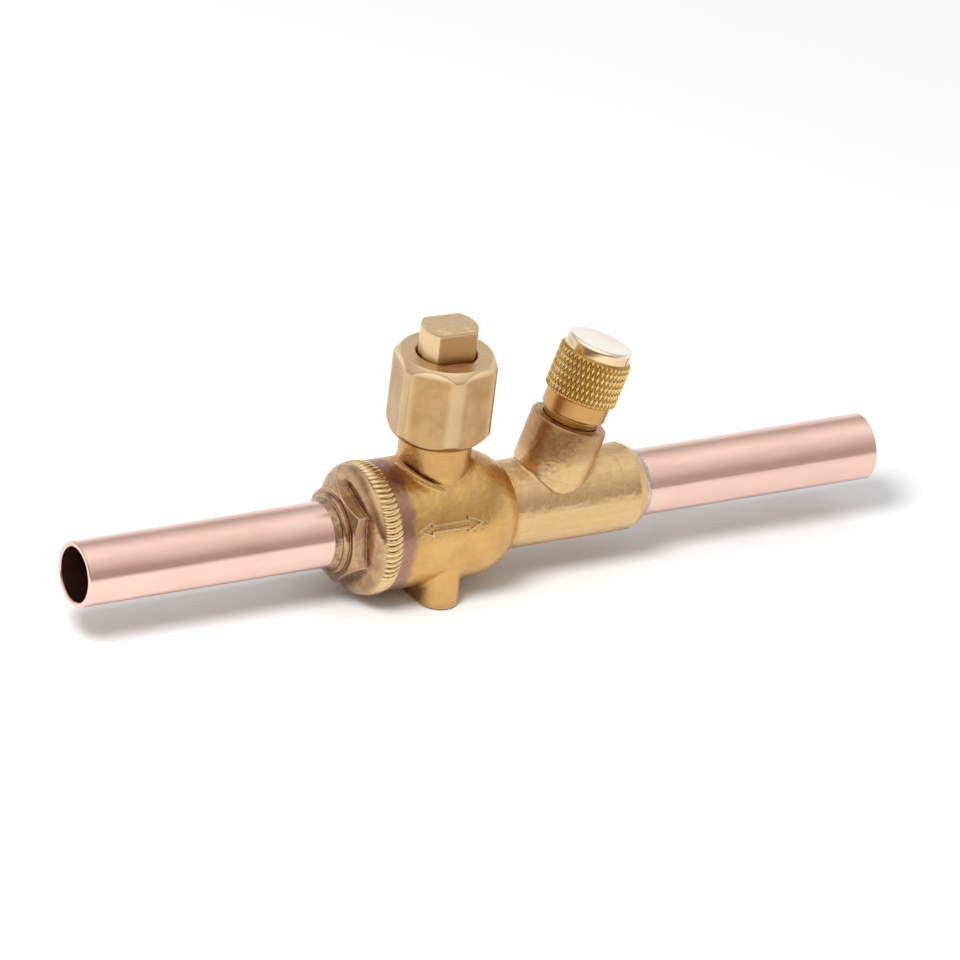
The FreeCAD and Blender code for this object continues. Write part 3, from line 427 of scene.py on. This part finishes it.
def weld_brass():
    """Golden crests with painted shade in the ripples' valleys, and brown along its sides."""
    tree = Tree("weld_brass")
    coords = tree.place(PIPE_AXIS)
    # Painted shade in the valleys between the ripples
    color = tree.shade_hollows(WELD_GOLD, WELD_VALLEY_SHADE, reach=0.6, share=1.0, levels=(0.4, 0.95))
    off_centre = tree.math("ABSOLUTE", tree.plus(tree.component(coords, "Z"), -WELD_CENTRE))
    color = tree.mix(tree.above(off_centre, 1.2, 2.1, share=0.8), color, WELD_SIDE)
    tree.bumps(0.04, (tree.noise(coords, scale=6.0), 0.015))
    return tree.finish(color, 0.22)


def copper():
    """Drawn tube: fine lines along it, a polished skin, and painted shade in its hollows, inside
    it and near the braze.
    """
    tree = Tree("drawn_copper")
    coords = tree.place(PIPE_AXIS)
    lines = tree.noise(tree.stretch(coords, (6.0, 6.0, 0.06)))
    cloud = tree.noise(tree.stretch(coords, (0.25, 0.25, 0.08)))
    shade = tree.mix(tree.above(cloud, 0.35, 0.7, share=0.5), COPPER, COPPER_DEEP)
    # Painted shade in the tube's hollows, inside it and where it meets the braze
    shade = tree.shade_hollows(shade, COPPER_HOLLOW_SHADE, reach=3.0, share=0.85, levels=(0.15, 0.7))
    tree.bumps(0.1, (lines, 0.006))
    return tree.finish(shade, tree.between(lines, 0.15, 0.23, 0.3, 0.7))


def braze(name, bright, dull):
    """Run-out braze metal: lumpy, with dull patches."""
    tree = Tree(name)
    coords = tree.place(PIPE_AXIS)
    lumps = tree.noise(coords, scale=0.8)
    color = tree.mix(tree.above(lumps, 0.35, 0.7), bright, dull)
    tree.bumps(0.1, (lumps, 0.25), (tree.noise(coords, scale=4.0), 0.03))
    return tree.finish(color, tree.between(lumps, 0.2, 0.36, 0.3, 0.7))


def grained(name, axis, scale, colors, rough, edge, depth, metallic):
    """A plain finish with a fine grain in its colour, gloss and surface."""
    tree = Tree(name)
    grain = tree.noise(tree.place(axis), scale)
    tree.bumps(edge, (grain, depth))
    return tree.finish(tree.mix(grain, *colors), tree.between(grain, *rough), metallic)


def add_piece(name, points, faces, material, sharp=None):
    """A smooth mesh piece, with sharp edges where it turns by more than an angle in degrees."""
    mesh = bpy.data.meshes.new(name)
    mesh.from_pydata(points, [], faces)
    work = bmesh.new()
    work.from_mesh(mesh)
    bmesh.ops.recalc_face_normals(work, faces=work.faces)
    work.to_mesh(mesh)
    work.free()
    mesh.materials.append(material)
    mesh.shade_smooth()
    if sharp is not None:
        mesh.set_sharp_from_angle(angle=math.radians(sharp))
    piece = bpy.data.objects.new(name, mesh)
    bpy.context.scene.collection.objects.link(piece)
    return piece


def lathe_piece(name, rows, steps, axis, material, sharp=32.0):
    """A turned or milled form about an axis. Each row is (height, reach), and reach is a number
    or a function of the angle and the height. A reach of 0 is a pole that closes the form;
    without poles the last row meets the first."""
    origin, tilt = axis
    place = Matrix.Translation((origin * MM, 0, 0)) @ Matrix.Rotation(math.radians(tilt), 4, "Y")
    points, faces, loops = [], [], []
    for height, reach in rows:
        if reach == 0:
            loops.append([len(points)])
            points.append(place @ Vector((0, 0, height * MM)))
            continue
        loops.append(list(range(len(points), len(points) + steps)))
        for step in range(steps):
            angle = 2 * math.pi * step / steps
            out = reach(angle, height) if callable(reach) else reach
            local = Vector((out * math.cos(angle), out * math.sin(angle), height))
            points.append(place @ (local * MM))
    closed = len(loops[0]) > 1
    for number in range(len(loops) if closed else len(loops) - 1):
        below, above = loops[number], loops[(number + 1) % len(loops)]
        for step in range(steps):
            beside = (step + 1) % steps
            corners = [below[step % len(below)], below[beside % len(below)],
                       above[beside % len(above)], above[step % len(above)]]
            faces.append(list(dict.fromkeys(corners)))
    return add_piece(name, points, faces, material, sharp)


def stands_for(piece, node):
    """The piece takes a node's place and rides on its body."""
    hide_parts(node)
    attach(piece, NODES[node]["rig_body"])


def spread(low, high, count):
    return [low + (high - low) * i / (count - 1) for i in range(count)]


def eased(share):
    """0..1 to 0..1 with level ends."""
    return share * share * (3 - 2 * share)


def hexagon(angle, flats, turn):
    """Distance from the axis to a hexagon's side at an angle."""
    sixth = math.pi / 3
    return flats / 2 / math.cos((angle - turn) % sixth - sixth / 2)


def rounded(height, reach, radius, angles):
    """Rows round an outer edge whose end face is at a height."""
    return [(height - radius + radius * math.sin(angle), reach - radius + radius * math.cos(angle))
            for angle in angles]


WELD_RIPPLES = 68
WELD_DEPTH = 0.42
WELD_CROWN = 0.4
WELD_ROWS = 23
WELD_STEPS_PER_RIPPLE = 13
# How far a ripple bends and leans across the bead, in ripples, and the shape of its scale
WELD_BEND = 0.55
WELD_SLANT = 0.2
WELD_SKEW = 0.85
WELD_FULLNESS = 2.2
# The bead is smoother where it ends, as (middle, half width) of the angle in degrees
WELD_END = (325.0, 38.0)
WELD_END_STRENGTH = 0.2


def weld_ripples(material):
    """Weld bead whose ripples are bent like overlapping scales."""
    draws = random.Random(11)
    strength = [draws.uniform(0.7, 1.0) for _ in range(WELD_RIPPLES)]
    foot = WELD_RADIUS - WELD_CROWN
    side_tuck, buried, buried_half = 0.12, foot - 0.9, WELD_HALF * 0.6

    def reach(angle, height):
        across = (height - WELD_CENTRE) / WELD_HALF
        phase = (angle / (2 * math.pi) * WELD_RIPPLES + WELD_BEND * across ** 2
                 + WELD_SLANT * across) % WELD_RIPPLES
        swell = 1 - abs(2 * (phase % 1) ** WELD_SKEW - 1) ** WELD_FULLNESS
        fade = 1 - abs(across) ** 5
        gap = abs(math.degrees(angle) - WELD_END[0]) / WELD_END[1]
        fade *= min(1.0, WELD_END_STRENGTH + (1 - WELD_END_STRENGTH) * gap ** 2)
        depth = WELD_DEPTH * strength[int(phase)] * (1 - swell) * fade
        return foot + WELD_CROWN * (1 - across ** 2) - side_tuck * abs(across) ** 6 - depth

    rows = [(height, reach) for height in
            spread(WELD_CENTRE - WELD_HALF, WELD_CENTRE + WELD_HALF, WELD_ROWS)]
    rows += [(WELD_CENTRE + buried_half, buried), (WELD_CENTRE - buried_half, buried)]
    piece = lathe_piece("weld_ripples", rows, WELD_RIPPLES * WELD_STEPS_PER_RIPPLE, PIPE_AXIS,
                        material, sharp=50.0)
    stands_for(piece, "closure_weld_bead")


THREAD_PITCH = 1.27
THREAD_DEPTH = 0.72
THREAD_FLAT = 0.9
THREAD_FLANK = 1.15
THREAD_STEPS = 96
THREAD_ROWS_PER_TURN = 12


def threaded_fitting(material):
    """The access fitting with its flare thread cut as a real helix."""
    thread_from, thread_to, major = 18.4, 28.5, 5.556
    run_in, run_out = 1.2, 0.6
    nose_at, nose, mouth, bore = 30.4, 3.65, 3.1, 2.7
    shank, foot, lower, step_at, step_end = 5.4, 10.1, 2.2, 5.8, 6.3

    def reach(angle, height):
        part = ((height - thread_from) / THREAD_PITCH - angle / (2 * math.pi)) % 1
        valley = min(THREAD_FLAT, max(0.0, 1 - abs(2 * part - 1) * THREAD_FLANK))
        fade = min(1.0, (height - thread_from) / run_in, (thread_to - height) / run_out)
        return major - THREAD_DEPTH * valley * max(fade, 0.0)

    count = int((thread_to - thread_from) / THREAD_PITCH * THREAD_ROWS_PER_TURN)
    rows = [(foot, lower), (foot, shank), (thread_from - 0.2, shank)]
    rows += [(height, reach) for height in spread(thread_from, thread_to, count)]
    rows += [(nose_at, nose), (nose_at, mouth), (nose_at - 0.4, bore),
             (nose_at - step_at, bore), (nose_at - step_end, lower)]
    piece = lathe_piece("access_fitting_threaded", rows, THREAD_STEPS, PORT_AXIS, material,
                        sharp=40.0)
    stands_for(piece, "access_fitting")


KNURL_STARTS = 44
KNURL_CELLS = 3
KNURL_ROWS = 72
KNURL_STEPS_PER_START = 10
# Share of a knurl's pitch that its groove takes, and the length over which it runs out
KNURL_GROOVE_SHARE = 0.55
KNURL_RUNOUT = 0.25


def knurled_cap(material):
    """Access cap with fine rolled diamonds, a plain skirt and a polished, dished crown."""
    foot, bore, roof, skirt, crown, edge = 18.95, 5.606, 31.6, 6.33, 6.42, 0.7
    inner_chamfer, outer_chamfer, shoulder, dish, dish_rim = (0.3, 0.25), 0.15, 0.3, 0.08, 0.9

    def ridge(phase):
        """0 in a rolled groove and 1 on the land beside it."""
        return min(1.0, (1 - abs(2 * (phase % 1) - 1)) / KNURL_GROOVE_SHARE)

    def reach(angle, height):
        start = angle / (2 * math.pi) * KNURL_STARTS
        climb = (height - KNURL_FROM) / (KNURL_TO - KNURL_FROM) * KNURL_CELLS
        level = min(ridge(start + climb), ridge(start - climb))
        end = min(1.0, (height - KNURL_FROM) / KNURL_RUNOUT, (KNURL_TO - height) / KNURL_RUNOUT)
        return KNURL_ROOT + (KNURL_TIP - KNURL_ROOT) * level * max(end, 0.0)

    rows = [(roof, 0), (roof, bore), (foot + inner_chamfer[0], bore),
            (foot, bore + inner_chamfer[1]), (foot, skirt - outer_chamfer),
            (foot + outer_chamfer, skirt), (KNURL_FROM - shoulder, skirt)]
    rows += [(height, reach) for height in spread(KNURL_FROM, KNURL_TO, KNURL_ROWS)]
    rows += [(KNURL_TO + shoulder, crown), (PORT_CAP_TOP - edge, crown)]
    rows += rounded(PORT_CAP_TOP, crown, edge, spread(0, math.pi / 2, 7)[1:-1])
    rows += [(PORT_CAP_TOP, crown - edge), (PORT_CAP_TOP - dish, crown - edge - dish_rim),
             (PORT_CAP_TOP - dish, 0)]
    piece = lathe_piece("knurled_access_cap", rows, KNURL_STARTS * KNURL_STEPS_PER_START,
                        PORT_AXIS, material)
    stands_for(piece, "access_cap")


CAP_TURN = math.radians(16.0)
TANG_TURN = math.radians(-3.5)
# The tang's rounded top edge, as (below its top, taken off its sides)
TANG_EDGE = ((0.45, 0.0), (0.2, 0.07), (0.05, 0.22), (0.0, 0.45))


def hexagon_cap(material):
    """Seal cap milled from a turned blank, with a two-flat tang in a turned recess."""
    bore, bore_roof, cavity, cavity_roof, drill_tip = 6.55, 22.3, 4.4, 26.5, 28.7
    recess, floor, recess_chamfer, tang_root = 5.8, CAP_TOP - 1.0, 0.25, TANG_RADIUS + 0.27
    foot_reach, foot_height, foot_fullness, foot_band = 7.75, 2.2, 0.75, 3.0
    crown_reach, crown_height, crown_fullness, crown_band = 8.8, 1.7, 0.85, 2.4

    def side(angle, height):
        """The hexagon's side, within the blank and the cones turned on its foot and crown."""
        reach = min(hexagon(angle, CAP_FLATS, CAP_TURN), CAP_BLANK)
        rise = (height - CAP_FOOT) / foot_height
        drop = (CAP_TOP - height) / crown_height
        return min(reach, foot_reach + (CAP_BLANK - foot_reach) * rise ** foot_fullness,
                   crown_reach + (CAP_BLANK - crown_reach) * drop ** crown_fullness)

    def shank(shrink):
        def reach(angle, height):
            across = abs(math.sin(angle - TANG_TURN))
            flats = (TANG_FLAT - shrink) / across if across > 0.1 else TANG_RADIUS
            return min(TANG_RADIUS - shrink, flats)
        return reach

    rows = [(drill_tip, 0), (cavity_roof, cavity), (bore_roof, cavity), (bore_roof, bore),
            (CAP_FOOT + 0.4, bore), (CAP_FOOT, bore + 0.35)]
    rows += [(height, side) for height in spread(CAP_FOOT, CAP_FOOT + foot_band, 20)]
    rows += [(height, side) for height in spread(CAP_TOP - crown_band, CAP_TOP, 18)]
    rows += [(CAP_TOP, recess + recess_chamfer), (CAP_TOP - recess_chamfer, recess),
             (floor, recess), (floor, tang_root), (floor + 0.25, shank(-0.18)),
             (floor + 0.9, shank(0.0))]
    rows += [(TANG_TOP - down, shank(shrink)) for down, shrink in TANG_EDGE]
    rows += [(TANG_TOP, 0)]
    piece = lathe_piece("hexagon_seal_cap", rows, 432, STEM_AXIS, material)
    stands_for(piece, "seal_cap")


LIP_FROM = math.radians(172)
LIP_SWEEP = math.radians(92)
LIP_MIDDLE = 7.95
LIP_HALF = 0.58
LIP_RISE = 1.05
LIP_SINK = 0.25
# Share of the sweep over which each end runs out, and what is left of the lip at the very end
LIP_RUNOUT = 0.25
LIP_LEAST = 0.05


def neck_lip(material):
    """Raised rib on the barrel round the inlet side of the stem's neck."""
    steps, ring = 64, 12
    points, faces = [], []
    for step in range(steps + 1):
        share = step / steps
        angle = LIP_FROM + LIP_SWEEP * share
        strength = math.sqrt(min(1.0, share / LIP_RUNOUT, (1 - share) / LIP_RUNOUT)) or LIP_LEAST
        outward = Vector((math.cos(angle), math.sin(angle), 0))
        centre = outward * LIP_MIDDLE
        seat = math.sqrt(BARREL_RADIUS ** 2 - centre.y ** 2)
        for turn in range(ring):
            around = 2 * math.pi * turn / ring
            spot = centre + outward * LIP_HALF * strength * math.cos(around)
            height = seat - LIP_SINK + (LIP_RISE + LIP_SINK) * strength * math.sin(around)
            points.append((STEM_AT * MM + spot.x * MM, spot.y * MM, height * MM))
    for step in range(steps):
        for turn in range(ring):
            beside = (turn + 1) % ring
            faces.append((step * ring + turn, step * ring + beside,
                          (step + 1) * ring + beside, (step + 1) * ring + turn))
    faces += [tuple(range(ring)), tuple(range(steps * ring, (steps + 1) * ring))]
    piece = add_piece("neck_lip", points, faces, material)
    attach(piece, "housing")


NECK_RADIUS = 7.0
NECK_FILLET = 2.2
NECK_BORE = 6.3
NECK_FROM = 10.0
NECK_PLAIN_FROM = 15.4
# The fillet fades in over this range of degrees away from the lip's middle. Across the pipe it
# loses a share of its size, and it is nowhere smaller than the least.
FILLET_FADE = (40, 75)
FILLET_LOSS = 0.6
FILLET_LEAST = 0.05


def forged_sleeves(material):
    """The skin of the stem's neck below the seal cap, and of the access boss."""
    def flared(angle, height):
        """The neck's radius, with a fillet on the barrel that fades out behind the lip."""
        away = abs(angle - LIP_FROM - LIP_SWEEP / 2)
        away = math.degrees(min(away, 2 * math.pi - away))
        start, end = FILLET_FADE
        fade = eased(min(1.0, max(0.0, (away - start) / (end - start))))
        size = NECK_FILLET * (1 - FILLET_LOSS * math.sin(angle) ** 2) * fade + FILLET_LEAST
        seat = math.sqrt(BARREL_RADIUS ** 2 - ((NECK_RADIUS + size) * math.sin(angle)) ** 2)
        rise = min(max(height - seat, 0.0), size)
        return NECK_RADIUS + size - math.sqrt(size ** 2 - (size - rise) ** 2)

    shoulder = [(NECK_FROM, NECK_BORE)]
    shoulder += [(height, flared) for height in spread(NECK_FROM, NECK_PLAIN_FROM, 44)]
    shoulder += [(CAP_FOOT - 0.35, NECK_RADIUS), (CAP_FOOT - 0.1, NECK_RADIUS - 0.2),
                 (CAP_FOOT - 0.1, NECK_BORE)]
    foot, top, bore, reach = 7.0, 17.2, 5.5, 7.5
    boss = [(foot, bore), (foot, reach), (top - 0.6, reach), (top - 0.2, reach - 0.2),
            (top, reach - 0.6), (top, bore)]
    for name, rows, axis in (("neck_shoulder", shoulder, STEM_AXIS),
                             ("boss_skin", boss, PORT_AXIS)):
        piece = lathe_piece(name, rows, 180, axis, material)
        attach(piece, "housing")


CLOSURE_FLATS = 17.5
CLOSURE_TURN = math.radians(11.0)
CLOSURE_NOSE = 22.0


def hexagon_closure(material):
    """Inlet closure: domed shoulder, hexagon with worn edges and a rounded tube collar."""
    spigot_end, spigot, chamfer, weld_foot, weld_groove = 9.9, 10.4, 0.4, 13.9, 11.1
    groove_edge, dome_from, dome_foot, dome_length, dome_fullness = 15.3, 16.0, 8.6, 1.9, 1.6
    hexagon_at, collar, collar_round, socket, socket_end, port = 20.8, 7.7, 0.85, 6.39, 12.5, 5.1
    bevel_foot, bevel_slope = CLOSURE_FLATS / 2 - 0.15, math.tan(math.radians(35))

    def outer(angle, height):
        run = min((height - dome_from) / dome_length, 1.0)
        drop = math.sqrt(max(0.0, 1 - run ** dome_fullness))
        dome = dome_foot + (BARREL_RADIUS - dome_foot) * drop
        side = hexagon(angle, CLOSURE_FLATS, CLOSURE_TURN)
        bevel = bevel_foot + (hexagon_at - height) / bevel_slope
        return max(dome if run < 1.0 else collar, min(side, bevel))

    rows = [(spigot_end, port), (spigot_end, spigot - chamfer), (spigot_end + chamfer, spigot),
            (weld_foot, spigot), (weld_foot, weld_groove), (groove_edge, BARREL_RADIUS)]
    rows += [(height, outer) for height in spread(dome_from, hexagon_at, 60)]
    rows += [(hexagon_at + 0.01, collar + 0.1), (hexagon_at + 0.1, collar)]
    rows += rounded(CLOSURE_NOSE, collar, collar_round, spread(0, math.pi / 2, 7))
    rows += [(CLOSURE_NOSE, socket), (socket_end, socket), (socket_end, port)]
    piece = lathe_piece("hexagon_closure", rows, 360, CLOSURE_AXIS, material, sharp=24.0)
    stands_for(piece, "end_closure")


TUBE_RADIUS = 6.35
# The inlet braze's run, as (beyond the closure's nose, rise over the tube)
BRAZE_RUN = ((0.0, 0.55), (0.2, 0.38), (0.5, 0.24), (0.9, 0.14), (1.3, 0.05))
BRAZE_LUMPS = 12


def inlet_braze(material):
    """Thin run of braze between the closure's collar and the tube."""
    draws = random.Random(5)
    lumps = [draws.uniform(0.85, 1.15) for _ in range(BRAZE_LUMPS)]
    buried = TUBE_RADIUS - 0.05

    def lumpy(rise):
        def reach(angle, height):
            place = angle / (2 * math.pi) * BRAZE_LUMPS
            first, second = (lumps[(int(place) + i) % BRAZE_LUMPS] for i in (0, 1))
            return TUBE_RADIUS + rise * (first + (second - first) * eased(place % 1))
        return reach

    rows = [(CLOSURE_NOSE, buried)]
    rows += [(CLOSURE_NOSE + beyond, lumpy(rise)) for beyond, rise in BRAZE_RUN]
    rows += [(CLOSURE_NOSE + 1.35, buried)]
    piece = lathe_piece("inlet_braze_run", rows, 180, CLOSURE_AXIS, material)
    stands_for(piece, "inlet_braze_ring")


def give(material, *names):
    """Puts one material on whole CAD nodes."""
    for name in names:
        mesh = NODES[name].data
        if not mesh.materials:
            mesh.materials.append(material)
        for slot in NODES[name].material_slots:
            slot.material = material


forged = forged_brass()
turned = turned_brass("port_brass", PORT_AXIS, CAP_YELLOW, CAP_ORANGE)
give(forged, "valve_body")
give(copper(), "inlet_tube", "outlet_tube")
give(braze("outlet_braze", SILVER, SILVER_DULL), "outlet_braze_ring")
give(turned, "core_body", "core_pin")
give(turned_brass("stem_brass", STEM_AXIS, MACHINED_PALE, MACHINED_BROWN), "stem", "ball")
give(grained("white_polymer", STEM_AXIS, 4.0, ((0.84, 0.84, 0.81), (0.90, 0.90, 0.88)),
             rough=(0.38, 0.5), edge=0.08, depth=0.006, metallic=0.0),
     "inlet_seat", "outlet_seat", "stem_thrust_washer", "seal_cap_gasket", "core_barrel_seal")
give(grained("black_rubber", STEM_AXIS, 6.0, ((0.018, 0.018, 0.018), (0.035, 0.034, 0.033)),
             rough=(0.55, 0.7), edge=0.08, depth=0.01, metallic=0.0),
     "seat_backing_ring", "stem_o_ring_lower", "stem_o_ring_upper", "access_cap_seal",
     "core_seal_disc")
give(grained("spring_steel", PORT_AXIS, 8.0, ((0.55, 0.55, 0.57), (0.68, 0.68, 0.70)),
             rough=(0.22, 0.32), edge=0.03, depth=0.004, metallic=1.0),
     "stem_stop_pin", "core_spring")

hexagon_closure(closure_brass())
inlet_braze(braze("inlet_braze", BRAZE_BROWN, BRAZE_DULL))
weld_ripples(weld_brass())
threaded_fitting(turned)
knurled_cap(access_cap_brass())
hexagon_cap(seal_cap_brass())
neck_lip(forged)
forged_sleeves(forged)


# The camera's direction, roll, distance and lens give the photograph's perspective. The camera's
# and the lamp's distances, the lamp's size and the floor's half width are in metres.
CAMERA_AZIMUTH = math.radians(32.8)
CAMERA_ELEVATION = math.radians(27.3)
CAMERA_ROLL = math.radians(7.2)
CAMERA_DISTANCE = 3.333
PIXELS_PER_METRE = 5290.0
IMAGE_SIZE = 960
STEM_PIXEL = (426.1, 517.0)
SENSOR = 36.0

KEY_DIRECTION = (-0.53, -0.32, 0.79)
KEY_DISTANCE = 0.9
KEY_SIZE = 0.35
KEY_POWER = 8.4

FLOOR_COLOR = (0.696, 0.706, 0.717)
FLOOR_HALF = 1.5
FLOOR_GAP = 0.3


def add_camera():
    a, e = CAMERA_AZIMUTH, CAMERA_ELEVATION
    towards = Vector((-math.sin(a) * math.cos(e), -math.cos(a) * math.cos(e), math.sin(e)))
    level = Vector((math.cos(a), -math.sin(a), 0))
    upright = towards.cross(level)
    turn = Matrix.Rotation(CAMERA_ROLL, 3, towards)
    right, up = turn @ level, turn @ upright
    middle = IMAGE_SIZE / 2
    aim = (Vector((STEM_AT * MM, 0, 0))
           + right * (middle - STEM_PIXEL[0]) / PIXELS_PER_METRE
           + up * (STEM_PIXEL[1] - middle) / PIXELS_PER_METRE)
    data = bpy.data.cameras.new("camera")
    data.sensor_width = SENSOR
    data.lens = PIXELS_PER_METRE * CAMERA_DISTANCE * SENSOR / IMAGE_SIZE
    data.clip_start, data.clip_end = 0.1, 20.0
    camera = bpy.data.objects.new("camera", data)
    bpy.context.scene.collection.objects.link(camera)
    axes = Matrix((right, up, towards)).transposed().to_4x4()
    camera.matrix_world = Matrix.Translation(aim + towards * CAMERA_DISTANCE) @ axes
    bpy.context.scene.camera = camera


def add_key_lamp():
    """A soft lamp high on the left in front. It casts the floor's shadow and isn't seen in the
    metal, which shows the room instead."""
    data = bpy.data.lights.new("key", "AREA")
    data.energy = KEY_POWER
    data.shape = "DISK"
    data.size = KEY_SIZE
    lamp = bpy.data.objects.new("key", data)
    lamp.visible_glossy = False
    bpy.context.scene.collection.objects.link(lamp)
    towards = Vector(KEY_DIRECTION).normalized()
    lamp.location = Vector((STEM_AT * MM, 0, 0)) + towards * KEY_DISTANCE
    lamp.rotation_mode = "QUATERNION"
    lamp.rotation_quaternion = towards.to_track_quat("Z", "Y")


def add_floor():
    """A pale floor just below the mounting pad."""
    half, height = FLOOR_HALF, cad_box[0].z - FLOOR_GAP * MM
    mesh = bpy.data.meshes.new("floor")
    mesh.from_pydata([(-half, -half, height), (half, -half, height), (half, half, height),
                      (-half, half, height)], [], [(0, 1, 2, 3)])
    floor = bpy.data.objects.new("floor", mesh)
    bpy.context.scene.collection.objects.link(floor)
    material = bpy.data.materials.new("floor_paper")
    material.use_nodes = True
    shader = material.node_tree.nodes["Principled BSDF"]
    shader.inputs["Base Color"].default_value = (*FLOOR_COLOR, 1)
    shader.inputs["Roughness"].default_value = 0.9
    shader.inputs["Specular IOR Level"].default_value = 0.0
    mesh.materials.append(material)


# Light of the room by the height that it comes from, as (sine of the elevation, colour)
ROOM_FRONT = ((0.0, (0.27, 0.19, 0.14)), (0.2, (0.32, 0.24, 0.19)), (0.36, (0.44, 0.36, 0.31)),
              (0.55, (0.85, 0.79, 0.74)), (0.68, (1.12, 1.10, 1.07)), (1.0, (1.25, 1.25, 1.25)))
ROOM_BACK = ((0.0, (1.10, 1.10, 1.12)), (0.15, (1.02, 1.02, 1.04)), (0.34, (0.72, 0.70, 0.69)),
             (0.52, (0.55, 0.52, 0.50)), (0.74, (0.80, 0.79, 0.78)), (0.92, (1.25, 1.25, 1.25)))
# Direction of the room's darker side, and how far from it the pale side begins and is full
DARK_SIDE = (-0.55, -0.83, 0.0)
DARK_SIDE_FADE = (0.75, -0.15)


def add_world():
    """A pale room with a broad soft light overhead and a darker wall behind the camera."""
    world = bpy.data.worlds.new("room")
    bpy.context.scene.world = world
    world.use_nodes = True
    nodes, links = world.node_tree.nodes, world.node_tree.links
    coords = nodes.new("ShaderNodeTexCoord")
    split = nodes.new("ShaderNodeSeparateXYZ")
    links.new(coords.outputs["Generated"], split.inputs[0])
    facing = nodes.new("ShaderNodeVectorMath")
    facing.operation = "DOT_PRODUCT"
    links.new(coords.outputs["Generated"], facing.inputs[0])
    facing.inputs[1].default_value = DARK_SIDE
    side = nodes.new("ShaderNodeMapRange")
    side.interpolation_type = "SMOOTHSTEP"
    side.inputs["From Min"].default_value, side.inputs["From Max"].default_value = DARK_SIDE_FADE
    links.new(facing.outputs["Value"], side.inputs["Value"])
    mix = nodes.new("ShaderNodeMix")
    mix.data_type = "RGBA"
    links.new(side.outputs["Result"], mix.inputs[0])
    for socket, stops in ((6, ROOM_FRONT), (7, ROOM_BACK)):
        ramp = nodes.new("ShaderNodeValToRGB")
        while len(ramp.color_ramp.elements) < len(stops):
            ramp.color_ramp.elements.new(0.5)
        for element, (place, color) in zip(ramp.color_ramp.elements, stops):
            element.position = place
            element.color = (*color, 1)
        links.new(split.outputs["Z"], ramp.inputs[0])
        links.new(ramp.outputs[0], mix.inputs[socket])
    links.new(mix.outputs[2], nodes["Background"].inputs["Color"])


add_camera()
add_floor()
add_world()
add_key_lamp()

bpy.context.scene.view_settings.view_transform = "Standard"
